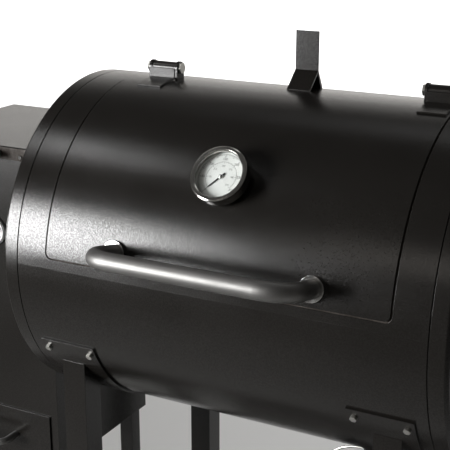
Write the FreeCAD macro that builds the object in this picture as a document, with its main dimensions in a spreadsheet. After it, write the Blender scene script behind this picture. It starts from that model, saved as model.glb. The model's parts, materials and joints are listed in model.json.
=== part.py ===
import FreeCAD, Part
import Sketcher
import math
import os

# Offset smoker: a barrel cooking chamber on a wheeled frame, with a tall top-loading firebox beside it.
# Millimetres. +X runs along the barrel towards the chimney, -Y is the front, +Z is up.
# Expressions below are sums of sheet names and numbers; a product is written with * and no spaces.
# Places are written from the barrel's middle, on the floor; frame_x and frame_y carry them to the
# part's own origin, the centre of its bounding box on the floor.
SIZES = {
    # cooking chamber
    "barrel_radius": 247, "barrel_wall": 2, "barrel_length": 600, "axis_height": 800,
    "shell_split_angle": 87, "cap_depth": 27, "cap_seam": 1.5, "cap_round": 5, "cap_wall": 3,
    "spigot_depth": 14, "spigot_gap": 0.15,
    # chamber lid and the opening under it
    "lid_width": 502, "lid_shift": 1, "lid_top_angle": 8, "lid_bottom_angle": 83.5, "lid_wall": 2.5,
    "lid_seat": 0.3, "lid_gap": 2.5, "lid_corner": 8, "opening_margin": 14, "opening_lap": 3.5,
    "stop_wall": 2, "stop_reach": 11.5,
    # lid hinges
    "hinge_left": -197, "hinge_right": 228, "hinge_width": 48, "hinge_forward": 5, "hinge_rise": 16,
    "knuckle_radius": 8.5, "pin_radius": 4, "pin_gap": 0.05, "ear_wall": 4, "ear_width": 20,
    "side_gap": 0.4, "leaf_wall": 2.5, "leaf_lap": 5, "leaf_gap": 0.05, "pin_head": 4,
    # rest that the open lid leans on
    "rest_width": 35, "rest_middle": 20, "rest_front": 10, "rest_back": 18, "rest_slope_rise": 25,
    "rest_height": 80, "rest_depth": 14, "rest_wall": 2.5,
    # lid handle
    "handle_angle": 78, "handle_shift": 6, "handle_span": 288, "handle_radius": 12.5, "handle_wall": 1.5,
    "handle_reach": 74, "handle_bend": 40, "bezel_radius": 17, "bezel_height": 5, "seat_gap": 0.1,
    # thermometer
    "dial_shift": 3, "dial_angle": 51, "dial_radius": 39, "dial_depth": 22, "dial_back": 4,
    "dial_wall": 1.5, "dial_rim": 6.5, "dial_face_depth": 11, "glass_depth": 4, "stem_radius": 4,
    "stem_length": 55, "stem_nut_radius": 9, "needle_length": 23, "needle_tail": 7, "needle_wide": 2.4,
    "needle_wall": 0.8, "needle_pivot": 1.5, "needle_rest_angle": 140,
    # legs
    "leg_spread": 242, "leg_inset": 61, "leg_side": 38, "tube_wall": 2, "bracket_top_angle": 115.2,
    "bracket_bottom_angle": 150, "bracket_width": 91, "bracket_wall": 3, "bracket_shift": 5,
    "bolt_radius": 5, "bolt_head": 4, "bolt_angle": 118.6, "bolt_spread": 71,
    # frame under the legs
    "rail_bottom": 120, "rail_right": 262,
    "shelf_wall": 2, "shelf_gap": 1.5, "slot_width": 12, "slot_length": 300, "slot_pitch": 34,
    # firebox
    "firebox_width": 270, "firebox_depth": 258, "firebox_gap": 7, "firebox_top": 145,
    "firebox_floor": 420, "firebox_wall": 2, "post_side": 25, "post_inset": 24,
    "box_lid_lap": 3, "box_lid_skirt": 20, "box_lid_wall": 2, "box_lid_gap": 0.5, "box_lid_round": 3,
    "box_hinge_back": 9, "box_knuckle_radius": 6, "box_pin_radius": 3, "box_hinge_inset": 22,
    "box_ear_drop": 12, "box_handle_span": 100, "box_handle_radius": 6, "box_handle_reach": 36, "box_handle_bend": 14,
    "duct_width": 140, "duct_height": 100, "duct_wall": 2, "duct_drop": 140, "duct_gap": 0.2,
    "duct_reach": 12,
    "drawer_width": 222, "drawer_height": 78, "drawer_back": 18, "drawer_gap": 1,
    "drawer_front_lap": 9, "vent_rise": 555, "vent_radius": 36, "vent_hole": 9, "vent_pitch": 20,
    "vent_wall": 2, "vent_gap": 0.3, "stud_radius": 3, "stud_length": 9, "vent_tab": 16,
    "plate_width": 106, "plate_height": 63, "plate_rise": 8, "plate_wall": 4,
    "coal_grate_height": 600, "coal_grate_wall": 10, "coal_gap": 3,
    "rivet_spread": 91, "rivet_drop": 14, "rivet_radius": 3,
    # chamber furniture
    "grate_drop": 26, "grate_wall": 10, "grate_inset": 15, "grate_gap": 2, "grate_slot": 9,
    "grate_pitch": 16, "ledge_wall": 4, "ledge_reach": 22, "ledge_length": 564,
    "rack_rise": 95, "rack_wall": 6, "rack_front": 56, "rack_inset": 45, "rack_length": 560,
    "baffle_drop": 120, "baffle_inset": 52, "baffle_wall": 3, "baffle_length": 540,
    # chimney
    "chimney_rise": 100, "chimney_back": 60, "elbow_bend": 60, "elbow_radius": 38.4, "flue_wall": 1.5,
    "elbow_straight": 16, "elbow_inset": 4, "flange_radius": 52, "flange_wall": 3, "pipe_radius": 40,
    "pipe_lap": 20, "pipe_length": 300, "damper_wall": 2, "damper_radius": 44, "damper_gap": 0.3, "damper_boss": 8,
    "damper_pin": 3, "damper_boss_length": 20,
    # drain and grease bucket
    "drain_x": 150, "drain_radius": 14, "drain_wall": 2, "drain_length": 36, "hook_reach": 24,
    "hook_wire": 2.5, "hook_rise": 11, "bucket_radius": 72, "bucket_foot_radius": 56, "bucket_height": 125,
    "bucket_wall": 1.2, "bail_wire": 2, "bail_rise": 78, "bail_bend": 70, "ear_gap": 3, "bail_gap": 0.3,
    # wheels and axle
    "wheel_radius": 100, "wheel_width": 36, "tyre_wall": 16, "tyre_round": 9, "web_wall": 8,
    "hub_radius": 20, "axle_radius": 7, "axle_gap": 0.05, "wheel_clear": 6, "web_hole": 13,
    "web_pitch": 52, "axle_ear_wall": 5, "axle_ear_width": 40, "nut_radius": 12, "nut_wall": 8,
    "axle_spare": 1,
    # casters
    "caster_x": -575, "caster_radius": 45, "caster_width": 28, "caster_trail": 25, "fork_wall": 4,
    "fork_gap": 2, "caster_plate": 64, "caster_plate_wall": 4, "swivel_radius": 20, "swivel_gap": 0.5,
    "caster_axle": 5, "caster_hub": 12, "brake_length": 44, "brake_offset": 7, "brake_wall": 3,
    "kingpin_radius": 7,
}

# Sizes that follow from others: what stands under, lies in or slides into another piece.
FITTED = {
    "leg_depth": "barrel_radius - leg_inset",
    "grate_half_depth": "barrel_radius - grate_inset",
    "rack_back": "barrel_radius - rack_inset",
    "baffle_half_depth": "barrel_radius - baffle_inset",
    "rail_left": "-0.5*barrel_length - cap_depth - firebox_gap - firebox_width",
    "cross_left": "rail_left + 0.5*leg_side",
    "cross_middle": "rail_left + firebox_width - 0.5*leg_side",
    "drawer_depth": "firebox_depth - drawer_back",
}

# Side of the frame's middle that each row of legs, wheels or casters lies on.
FRONT, REAR = -1, 1

doc = FreeCAD.newDocument("offset_smoker")
sheet = doc.addObject("Spreadsheet::Sheet", "dims")


def value(expression):
    """The number that a sum of sheet names and numbers stands for."""
    total, sign = 0.0, 1
    for word in str(expression).split():
        if word in ("+", "-"):
            sign = 1 if word == "+" else -1
            continue
        term = 1.0
        for factor in word.split("*"):
            negative = factor.startswith("-") and factor[1:] in SIZES
            name = factor[1:] if negative else factor
            term *= (SIZES[name] if name in SIZES else float(name)) * (-1 if negative else 1)
        total += sign * term
    return total


def linked(expression):
    """The same sum, written for the document's expression engine."""
    words = []
    for word in str(expression).split():
        factors = []
        for factor in word.split("*"):
            negative = factor.startswith("-") and factor[1:] in SIZES
            name = factor[1:] if negative else factor
            factors.append(("-" if negative else "") + ("dims." + name if name in SIZES else name))
        words.append("*".join(factors))
    return " ".join(words)


def fill_sheet():
    """The outermost pieces set the frame's shift, then every size gets its own named cell."""
    for name, expression in FITTED.items():
        SIZES[name] = value(expression)
    left = value("-0.5*barrel_length - cap_depth - firebox_gap - firebox_width - vent_gap - vent_tab")
    right = value("0.5*barrel_length + cap_depth - cap_wall - elbow_inset + elbow_straight + elbow_bend")
    right += value("damper_radius")
    front = -(value("barrel_radius - barrel_wall + lid_seat + lid_wall + handle_reach")
              * math.sin(math.radians(value("handle_angle"))) + value("handle_radius"))
    back = value("leg_depth + 0.5*leg_side + wheel_clear + wheel_width + axle_spare + nut_wall")
    SIZES["frame_x"] = round(-(left + right) / 2, 4)
    SIZES["frame_y"] = round(-(front + back) / 2, 4)
    for row, (name, number) in enumerate(SIZES.items(), start=1):
        sheet.set("A%d" % row, name)
        sheet.set("B%d" % row, "=" + FITTED[name] if name in FITTED else repr(float(number)))
        sheet.setAlias("B%d" % row, name)
    doc.recompute()


def bind(obj, **sizes):
    """Tie each property to the sheet."""
    for name, expression in sizes.items():
        obj.setExpression(name, linked(expression))
    return obj


def put(obj, x, y, z, rotation=None):
    """Place an object from the barrel's middle on the floor, tied to the sheet."""
    if rotation is not None:
        obj.Placement = FreeCAD.Placement(FreeCAD.Vector(), rotation)
    obj.setExpression("Placement.Base.x", linked("frame_x + %s" % x))
    obj.setExpression("Placement.Base.y", linked("frame_y + %s" % y))
    obj.setExpression("Placement.Base.z", linked(z))
    return obj


def turned(axis, degrees):
    return FreeCAD.Rotation(FreeCAD.Vector(*axis), degrees)


# A cylinder's own axis is Z: these lay it along X or Y instead.
ALONG_X = FreeCAD.Rotation(FreeCAD.Vector(0, 1, 0), FreeCAD.Vector(0, 0, 1), FreeCAD.Vector(1, 0, 0))
ALONG_Y = FreeCAD.Rotation(FreeCAD.Vector(0, 0, 1), FreeCAD.Vector(1, 0, 0), FreeCAD.Vector(0, 1, 0))
UPRIGHT = FreeCAD.Rotation()


def block(x, y, z, dx, dy, dz):
    box = bind(doc.addObject("Part::Box", "block"), Length=dx, Width=dy, Height=dz)
    return put(box, x, y, z)


def rod(x, y, z, radius, length, along=UPRIGHT):
    cylinder = bind(doc.addObject("Part::Cylinder", "rod"), Radius=radius, Height=length)
    return put(cylinder, x, y, z, along)


def hexagon(x, y, z, radius, length, along=UPRIGHT):
    prism = doc.addObject("Part::Prism", "hexagon")
    prism.Polygon = 6
    bind(prism, Circumradius=radius, Height=length)
    return put(prism, x, y, z, along)


def cut(base, *tools):
    for tool in tools:
        step = doc.addObject("Part::Cut", "cut")
        step.Base, step.Tool = base, tool
        base = step
    return base


def fuse(*pieces):
    joined = doc.addObject("Part::MultiFuse", "fuse")
    joined.Shapes = list(pieces)
    return joined


def group(*pieces):
    together = doc.addObject("Part::Compound", "group")
    together.Links = list(pieces)
    return together


def rounded(base, radius, wanted):
    """Fillet the straight edges that the test picks out by direction and middle."""
    doc.recompute()
    picked = []
    for number, edge in enumerate(base.Shape.Edges, start=1):
        if edge.Curve.TypeId == "Part::GeomLine":
            along = (edge.Vertexes[-1].Point - edge.Vertexes[0].Point).normalize()
            if wanted(along, edge.CenterOfMass):
                picked.append((number, value(radius), value(radius)))
    fillet = doc.addObject("Part::Fillet", "rounded")
    fillet.Base = base
    fillet.Edges = picked
    return fillet


def ring_sheet(x, length, inner, outer, start, sweep):
    """Curved sheet round the barrel's axis; angles run from the top towards the front."""
    turn = turned((1, 0, 0), 90 + value(start)) * ALONG_X
    solid = bind(doc.addObject("Part::Cylinder", "sector"), Radius=outer, Height=length, Angle=sweep)
    put(solid, x, "0", "axis_height", turn)
    core = rod("%s - 1" % x, "0", "axis_height", inner, "%s + 2" % length, ALONG_X)
    return cut(solid, core)


def on_barrel(angle, radius):
    """Y and Z of a point at a radius and an angle from the top towards the front."""
    swing = math.radians(value(angle))
    return -value(radius) * math.sin(swing), value("axis_height") + value(radius) * math.cos(swing)


def facing_out(angle):
    """Turns a piece drawn along +Z so that it points out of the barrel at an angle."""
    return turned((1, 0, 0), value(angle))


def new_body(label):
    return doc.addObject("PartDesign::Body", label)


def origin_plane(body, role):
    return next(plane for plane in body.Origin.OriginFeatures if plane.Role == role)


def new_sketch(body, role):
    sketch = body.newObject("Sketcher::SketchObject", "sketch")
    sketch.AttachmentSupport = [(origin_plane(body, role), "")]
    sketch.MapMode = "FlatFace"
    return sketch


def outline(sketch, corners):
    """Closed outline of straight sides, each corner held by two sizes from the sheet."""
    points = [FreeCAD.Vector(value(across), value(up), 0) for across, up in corners]
    first = sketch.GeometryCount
    for index, point in enumerate(points):
        sketch.addGeometry(Part.LineSegment(point, points[(index + 1) % len(points)]), False)
    for index in range(len(points)):
        following = first + (index + 1) % len(points)
        sketch.addConstraint(Sketcher.Constraint("Coincident", first + index, 2, following, 1))
    for index, (across, up) in enumerate(corners):
        for kind, expression in (("DistanceX", across), ("DistanceY", up)):
            constraint = Sketcher.Constraint(kind, -1, 1, first + index, 1, value(expression))
            number = sketch.addConstraint(constraint)
            sketch.setExpression("Constraints[%d]" % number, linked(expression))


def circle(sketch, across, up, radius):
    centre = FreeCAD.Vector(value(across), value(up), 0)
    ring = sketch.addGeometry(Part.Circle(centre, FreeCAD.Vector(0, 0, 1), value(radius)), False)
    constraints = (("DistanceX", -1, 1, ring, 3, across), ("DistanceY", -1, 1, ring, 3, up))
    for kind, origin, corner, target, point, expression in constraints:
        constraint = Sketcher.Constraint(kind, origin, corner, target, point, value(expression))
        number = sketch.addConstraint(constraint)
        sketch.setExpression("Constraints[%d]" % number, linked(expression))
    number = sketch.addConstraint(Sketcher.Constraint("Radius", ring, value(radius)))
    sketch.setExpression("Constraints[%d]" % number, linked(radius))


def rectangle(sketch, left, right, low, high):
    outline(sketch, [(left, low), (right, low), (right, high), (left, high)])


def pad(body, sketch, length):
    feature = body.newObject("PartDesign::Pad", "pad")
    feature.Profile = sketch
    bind(feature, Length=length)
    doc.recompute()
    return feature


def pocket_through(body, sketch):
    """Cut the sketch right through the body, both ways."""
    feature = body.newObject("PartDesign::Pocket", "pocket")
    feature.Profile = sketch
    feature.Type = "ThroughAll"
    feature.Midplane = True
    doc.recompute()
    return feature


def revolve(body, sketch, axis="H_Axis", degrees="360"):
    feature = body.newObject("PartDesign::Revolution", "revolution")
    feature.Profile = sketch
    feature.ReferenceAxis = (sketch, [axis])
    bind(feature, Angle=degrees)
    doc.recompute()
    return feature


def soften(body, radius, wanted):
    """Fillet the body's edges that the test picks out."""
    base = body.Tip
    names = ["Edge%d" % number for number, edge in enumerate(base.Shape.Edges, start=1) if wanted(edge)]
    fillet = body.newObject("PartDesign::Fillet", "fillet")
    fillet.Base = (base, names)
    bind(fillet, Radius=radius)
    doc.recompute()


def pattern(body, feature, sketch, direction, length, count):
    repeat = body.newObject("PartDesign::LinearPattern", "pattern")
    repeat.Originals = [feature]
    repeat.Direction = (sketch, [direction])
    repeat.Occurrences = count
    bind(repeat, Length=length)
    body.Tip = repeat
    doc.recompute()
    return repeat


def polar(body, feature, sketch, count):
    repeat = body.newObject("PartDesign::PolarPattern", "pattern")
    repeat.Originals = [feature]
    repeat.Axis = (sketch, ["N_Axis"])
    repeat.Angle = 360
    repeat.Occurrences = count
    body.Tip = repeat
    doc.recompute()
    return repeat


PIECES = {}


def piece(label, obj):
    """Name a finished sub-part; its label names its file."""
    obj.Label = label
    PIECES[label] = obj
    return obj


# ---------------------------------------------------------------- cooking chamber

LID_RADIUS = "barrel_radius - barrel_wall + lid_seat"
LID_OUTER = "barrel_radius - barrel_wall + lid_seat + lid_wall"
LID_LEFT = "lid_shift - 0.5*lid_width"
BOX_RIGHT = "-0.5*barrel_length - cap_depth - firebox_gap"
BOX_LEFT = BOX_RIGHT + " - firebox_width"
BOX_MIDDLE = BOX_RIGHT + " - 0.5*firebox_width"
DUCT_LOW = "axis_height - duct_drop - 0.5*duct_height"
RAIL_TOP = "rail_bottom + leg_side"


def lid_outline(label, grown, inner, outer, corner):
    """Curved blank over the lid's outline, grown on every side, with rounded corners."""
    swing = math.degrees(value(grown) / value("barrel_radius"))
    wall = value(outer) - value(inner)
    body = new_body(label)
    sketch = new_sketch(body, "XZ_Plane")
    rectangle(sketch, LID_LEFT + " - " + grown, LID_LEFT + " + lid_width + " + grown, inner, outer)
    revolve(body, sketch, degrees="lid_bottom_angle - lid_top_angle + %s" % (2 * swing))
    soften(body, corner, lambda edge: edge.Curve.TypeId == "Part::GeomLine"
           and abs(edge.Length - wall) < 0.01)
    put(body, "0", "0", "axis_height", facing_out("lid_top_angle - %s" % swing))
    return body


def upper_shell():
    """Top of the barrel, with a recess for the lid and a stop all round it to close on."""
    shell = ring_sheet("-0.5*barrel_length", "barrel_length", "barrel_radius - barrel_wall",
                       "barrel_radius", "-shell_split_angle", "2*shell_split_angle")
    stop = lid_outline("lid_stop_blank", "stop_reach", "barrel_radius - barrel_wall - stop_wall",
                       "barrel_radius - 0.5*barrel_wall", "lid_corner + stop_reach")
    recess = lid_outline("lid_recess", "lid_gap", "barrel_radius - barrel_wall",
                         "barrel_radius + barrel_wall", "lid_corner + lid_gap")
    opening = ring_sheet(LID_LEFT + " + opening_margin", "lid_width - 2*opening_margin",
                         "barrel_radius - 2*barrel_wall - stop_wall", "barrel_radius + barrel_wall",
                         "lid_top_angle + opening_lap",
                         "lid_bottom_angle - lid_top_angle - 2*opening_lap")
    piece("upper_shell", cut(fuse(shell, stop), recess, opening))


def lower_shell():
    """Bottom of the barrel, with a hole for the drain."""
    shell = ring_sheet("-0.5*barrel_length", "barrel_length", "barrel_radius - barrel_wall",
                       "barrel_radius", "shell_split_angle", "360 - 2*shell_split_angle")
    hole = rod("drain_x", "0", "axis_height - barrel_radius - 10", "drain_radius + seat_gap", "20")
    piece("lower_shell", cut(shell, hole))


def end_cap(turn):
    """Pressed end with a spigot inside the shell and a round-edged rim outside it."""
    body = new_body("end_cap_blank")
    sketch = new_sketch(body, "XZ_Plane")
    inner = "barrel_radius - barrel_wall - spigot_gap"
    seam, face = "0.5*barrel_length", "0.5*barrel_length + cap_depth"
    outline(sketch, [
        (seam + " - spigot_depth", inner),
        (seam + " - spigot_depth", inner + " - cap_wall"),
        (face + " - cap_wall", inner + " - cap_wall"),
        (face + " - cap_wall", "0"),
        (face, "0"),
        (face, "barrel_radius - cap_round"),
        (face + " - cap_round", "barrel_radius"),
        (seam + " + cap_seam", "barrel_radius"),
        (seam + " + cap_seam", inner),
    ])
    revolve(body, sketch)
    rim = {(value(face), value("barrel_radius - cap_round")),
           (value(face + " - cap_round"), value("barrel_radius"))}
    soften(body, "0.5*cap_round", lambda edge: edge.Curve.TypeId == "Part::GeomCircle" and any(
        abs(edge.CenterOfMass.x - x) + abs(edge.Curve.Radius - radius) < 0.01 for x, radius in rim))
    put(body, "0", "0", "axis_height", turned((0, 0, 1), turn))
    return body


def end_caps():
    duct_hole = block("-0.5*barrel_length - 2*cap_depth", "-0.5*duct_width - duct_gap",
                      DUCT_LOW + " - duct_gap", "3*cap_depth", "duct_width + 2*duct_gap",
                      "duct_height + 2*duct_gap")
    piece("left_end_cap", cut(end_cap(180), duct_hole))
    flue_hole = rod("0.5*barrel_length - cap_depth", "chimney_back", "axis_height + chimney_rise",
                    "elbow_radius + seat_gap", "3*cap_depth", ALONG_X)
    piece("right_end_cap", cut(end_cap(0), flue_hole))


def lid():
    """Rolled sheet that closes on the stop, with rounded corners and a hole for the stem."""
    body = lid_outline("lid_blank", "0", LID_RADIUS, LID_OUTER, "lid_corner")
    y, z = on_barrel("dial_angle", "barrel_radius - 10")
    hole = rod("dial_shift", str(y), str(z), "stem_radius + seat_gap", "30", facing_out("dial_angle"))
    piece("lid", cut(body, hole))


HINGE_Z = "axis_height + barrel_radius + hinge_rise"


def lid_hinges():
    """Each hinge: two ears on the shell, a pin through them, and a leaf that turns on the pin."""
    ears, pins, leaves = [], [], []
    axis_y = "-hinge_forward"
    shell = rod("-0.5*barrel_length", "0", "axis_height", "barrel_radius", "barrel_length", ALONG_X)
    for middle in ("hinge_left", "hinge_right"):
        for start in (middle + " - 0.5*hinge_width", middle + " + 0.5*hinge_width - ear_wall"):
            plate = block(start, axis_y + " - 0.5*ear_width", "axis_height + barrel_radius - 6",
                          "ear_wall", "ear_width", "hinge_rise + 6")
            round_top = rod(start, axis_y, HINGE_Z, "0.5*ear_width", "ear_wall", ALONG_X)
            bore = rod(start + " - 1", axis_y, HINGE_Z, "pin_radius", "ear_wall + 2", ALONG_X)
            ears.append(cut(fuse(plate, round_top), shell, bore))
        start = middle + " - 0.5*hinge_width"
        shaft = rod(start + " - 2", axis_y, HINGE_Z, "pin_radius - 0.01", "hinge_width + 4", ALONG_X)
        head = hexagon(start + " - pin_head - 0.05", axis_y, HINGE_Z, "knuckle_radius", "pin_head", ALONG_X)
        nut = hexagon(middle + " + 0.5*hinge_width + 0.05", axis_y, HINGE_Z, "knuckle_radius", "pin_head",
                      ALONG_X)
        pins.append(fuse(shaft, head, nut))
        leaves.append(hinge_leaf(middle))
    piece("hinge_ears", group(*ears))
    piece("hinge_pins", group(*pins))
    piece("hinge_leaves", group(*leaves))


def hinge_leaf(middle):
    """Tube on the pin, a plate down its front and a foot that laps over the lid's top edge."""
    start = middle + " - 0.5*hinge_width + ear_wall + side_gap"
    length = "hinge_width - 2*ear_wall - 2*side_gap"
    tube = rod(start, "-hinge_forward", HINGE_Z, "knuckle_radius", length, ALONG_X)
    plate = block(start, "-hinge_forward - knuckle_radius - leaf_wall", "axis_height + barrel_radius - 2",
                  length, "leaf_wall + 1", "hinge_rise + 2")
    front = value("hinge_forward + knuckle_radius + leaf_wall")
    foot_start = math.degrees(math.asin((front - value("leaf_wall")) / value(LID_OUTER)))
    foot = ring_sheet(start, length, LID_OUTER + " + leaf_gap", LID_OUTER + " + leaf_gap + leaf_wall",
                      str(foot_start), "lid_top_angle + leaf_lap - %s" % foot_start)
    below = rod("-0.5*barrel_length", "0", "axis_height", LID_OUTER + " + leaf_gap", "barrel_length",
                ALONG_X)
    bore = rod(start + " - 1", "-hinge_forward", HINGE_Z, "pin_radius + pin_gap", length + " + 2", ALONG_X)
    return cut(fuse(tube, plate, foot), below, bore)


def lid_rest():
    """Folded bracket behind the lid's edge: a sloping front, then a tongue the open lid leans on."""
    body = new_body("lid_rest")
    sketch = new_sketch(body, "YZ_Plane")
    outline(sketch, [
        ("-rest_front", "-2"),
        ("-rest_front", "1"),
        ("rest_back", "rest_slope_rise"),
        ("rest_back", "rest_height"),
        ("rest_back + rest_wall", "rest_height"),
        ("rest_back + rest_wall", "rest_slope_rise"),
        ("rest_back + rest_wall + rest_depth", "0"),
        ("rest_back + rest_wall + rest_depth", "-4"),
    ])
    pad(body, sketch, "rest_width")
    put(body, "rest_middle - 0.5*rest_width", "0", "axis_height + barrel_radius")
    hollow = new_body("lid_rest_hollow")
    inside = new_sketch(hollow, "YZ_Plane")
    outline(inside, [
        ("-rest_front + rest_wall", "-20"),
        ("-rest_front + rest_wall", "0"),
        ("rest_back", "rest_slope_rise - 1.3*rest_wall"),
        ("rest_back + rest_depth - rest_wall", "-rest_wall"),
        ("rest_back + rest_depth - rest_wall", "-20"),
    ])
    pad(hollow, inside, "rest_width")
    put(hollow, "rest_middle - 0.5*rest_width + rest_wall", "0", "axis_height + barrel_radius")
    shell = rod("-0.5*barrel_length", "0", "axis_height", "barrel_radius", "barrel_length", ALONG_X)
    piece("lid_rest", cut(body, hollow, shell))


# ---------------------------------------------------------------- handles

def bent_bar(span, reach, bend, radius, foot):
    """Round bar on two legs: legs along Z from foot, the bar along X, quarter bends between."""
    half = "0.5*" + span
    pieces = []
    for side in (-1, 1):
        leg_x = "%s*%s" % (side * 0.5, span)
        leg = bind(doc.addObject("Part::Cylinder", "leg"), Radius=radius,
                   Height="%s - %s - %s" % (reach, bend, foot))
        leg.setExpression("Placement.Base.x", linked(leg_x))
        leg.setExpression("Placement.Base.z", linked(foot))
        corner = bind(doc.addObject("Part::Torus", "corner"), Radius1=bend, Radius2=radius)
        corner.Angle3 = 90
        turn = turned((1, 0, 0), 90) * turned((0, 0, 1), 90 if side < 0 else 0)
        corner.Placement = FreeCAD.Placement(FreeCAD.Vector(), turn)
        corner.setExpression("Placement.Base.x", linked("%s - %s*%s" % (leg_x, side, bend)))
        corner.setExpression("Placement.Base.z", linked("%s - %s" % (reach, bend)))
        pieces += [leg, corner]
    bar = bind(doc.addObject("Part::Cylinder", "bar"), Radius=radius, Height="%s - 2*%s" % (span, bend))
    bar.Placement = FreeCAD.Placement(FreeCAD.Vector(), ALONG_X)
    bar.setExpression("Placement.Base.x", linked("%s - %s" % (bend, half)))
    bar.setExpression("Placement.Base.z", linked(reach))
    return fuse(*pieces, bar)


def lid_handle():
    """Stainless tube bent into a bar, its ends in two collars on the lid."""
    y, z = on_barrel("handle_angle", LID_OUTER)
    turn = facing_out("handle_angle")
    outer = bent_bar("handle_span", "handle_reach", "handle_bend", "handle_radius", "seat_gap")
    bore = bent_bar("handle_span", "handle_reach", "handle_bend", "handle_radius - handle_wall", "seat_gap")
    bar = cut(outer, bore)
    piece("handle_bar", put(bar, "handle_shift", str(y), str(z), turn))
    collars = []
    under = rod(LID_LEFT, "0", "axis_height", LID_OUTER + " + 0.05", "lid_width", ALONG_X)
    for side in (-1, 1):
        across = "handle_shift + %s*handle_span" % (side * 0.5)
        low_y, low_z = on_barrel("handle_angle", LID_OUTER + " - 2")
        ring = rod(across, str(low_y), str(low_z), "bezel_radius", "bezel_height + 2", turn)
        hole = rod(across, str(low_y), str(low_z), "handle_radius + seat_gap", "bezel_height + 4", turn)
        collars.append(cut(ring, hole, under))
    piece("handle_collars", group(*collars))
    screws = []
    for side in (-1, 1):
        across = "handle_shift + %s*handle_span" % (side * 0.5)
        low_y, low_z = on_barrel("handle_angle", LID_RADIUS + " - 3")
        screws.append(hexagon(across, str(low_y), str(low_z), "7", "2.8", turn))
    piece("handle_screws", group(*screws))


# ---------------------------------------------------------------- thermometer

def dial_turning(profile, label):
    """A turned piece of the thermometer, drawn round its own axis and set on the lid."""
    body = new_body(label)
    sketch = new_sketch(body, "XZ_Plane")
    outline(sketch, profile)
    revolve(body, sketch, "V_Axis")
    y, z = on_barrel("dial_angle", LID_OUTER + " + dial_back")
    put(body, "dial_shift", str(y), str(z), facing_out("dial_angle"))
    return body


def thermometer():
    glass_z = "dial_depth - glass_depth"
    face_z = "dial_depth - dial_face_depth"
    inside = "dial_radius - dial_wall - 2"
    case = dial_turning([
        ("0", "-stem_length"), ("stem_radius", "-stem_length"), ("stem_radius", "-dial_back - 0.05"),
        ("stem_nut_radius", "-dial_back - 0.05"), ("stem_nut_radius", "0"), ("dial_radius - 6", "0"),
        ("dial_radius - 2", "3"), ("dial_radius - 2", "dial_depth - 5"),
        ("dial_radius", "dial_depth - 4"), ("dial_radius", "dial_depth - 1"),
        ("dial_radius - 1.5", "dial_depth"), ("dial_radius - dial_rim + 1.5", "dial_depth"),
        ("dial_radius - dial_rim", "dial_depth - 1.5"), ("dial_radius - dial_rim", glass_z),
        (inside, glass_z), (inside, "dial_wall + 3"), (inside + " - 4", "dial_wall"), ("0", "dial_wall"),
    ], "dial_case_blank")
    y, z = on_barrel("dial_angle", LID_OUTER + " - 8")
    lid_round = rod(LID_LEFT, "0", "axis_height", LID_OUTER + " + 0.05", "lid_width", ALONG_X)
    shaft = rod("dial_shift", str(y), str(z), "stem_radius", "10", facing_out("dial_angle"))
    piece("dial_case", cut(case, cut(lid_round, shaft, dial_core())))
    piece("dial_face", dial_turning([
        ("needle_pivot + pin_gap", face_z), (inside + " - seat_gap", face_z),
        (inside + " - seat_gap", face_z + " - 1"), ("needle_pivot + pin_gap", face_z + " - 1"),
    ], "dial_face"))
    piece("dial_glass", dial_turning([
        ("0", glass_z + " - 2.1"), (inside + " - seat_gap", glass_z + " - 2.1"),
        (inside + " - seat_gap", glass_z + " - 0.1"), ("0", glass_z + " - 0.1"),
    ], "dial_glass"))
    needle(face_z)


def dial_core():
    """The stem's own bore line, kept out of the cut that shapes the case to the lid."""
    y, z = on_barrel("dial_angle", "barrel_radius - stem_length - 20")
    return rod("dial_shift", str(y), str(z), "stem_radius + 0.001", "stem_length + 40",
               facing_out("dial_angle"))


def needle(face_z):
    """Pointer and tail on a short spindle that passes through the face."""
    body = new_body("dial_needle")
    sketch = new_sketch(body, "XY_Plane")
    outline(sketch, [
        ("-needle_tail", "-0.5*needle_wide"), ("needle_length - 4", "-0.25*needle_wide"),
        ("needle_length", "0"), ("needle_length - 4", "0.25*needle_wide"),
        ("-needle_tail", "0.5*needle_wide"),
    ])
    pad(body, sketch, "needle_wall")
    spindle = new_sketch(body, "XY_Plane")
    circle(spindle, "0", "0", "needle_pivot")
    shaft = body.newObject("PartDesign::Pad", "spindle")
    shaft.Profile = spindle
    shaft.Reversed = True
    bind(shaft, Length="3")
    doc.recompute()
    y, z = on_barrel("dial_angle", LID_OUTER + " + dial_back + 0.6 + " + face_z)
    turn = facing_out("dial_angle") * turned((0, 0, 1), 90 + value("needle_rest_angle"))
    put(body, "dial_shift", str(y), str(z), turn)
    piece("dial_needle", body)


# ---------------------------------------------------------------- legs and frame

def legs():
    """Square tubes from the rails to the barrel, each welded to a curved bracket."""
    names = {(-1, FRONT): "front_left_leg", (1, FRONT): "front_right_leg",
             (-1, REAR): "rear_left_leg", (1, REAR): "rear_right_leg"}
    brackets, bolts = [], []
    for (side, row), label in names.items():
        x = "%s*leg_spread" % side
        y = "%s*leg_depth" % row
        outer = block(x + " - 0.5*leg_side", y + " - 0.5*leg_side", RAIL_TOP, "leg_side", "leg_side",
                      "axis_height - %s - 100" % RAIL_TOP.replace(" + ", " - "))
        inner = block(x + " - 0.5*leg_side + tube_wall", y + " - 0.5*leg_side + tube_wall",
                      RAIL_TOP + " - 1", "leg_side - 2*tube_wall", "leg_side - 2*tube_wall",
                      "axis_height - %s - 98" % RAIL_TOP.replace(" + ", " - "))
        barrel = rod("-0.5*barrel_length", "0", "axis_height", "barrel_radius + bracket_wall + 0.2",
                     "barrel_length", ALONG_X)
        piece(label, cut(outer, inner, barrel))
        brackets.append(leg_bracket(side, row))
        bolts += leg_bolts(side, row)
    piece("leg_brackets", group(*brackets))
    piece("leg_bolts", group(*bolts))


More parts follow.
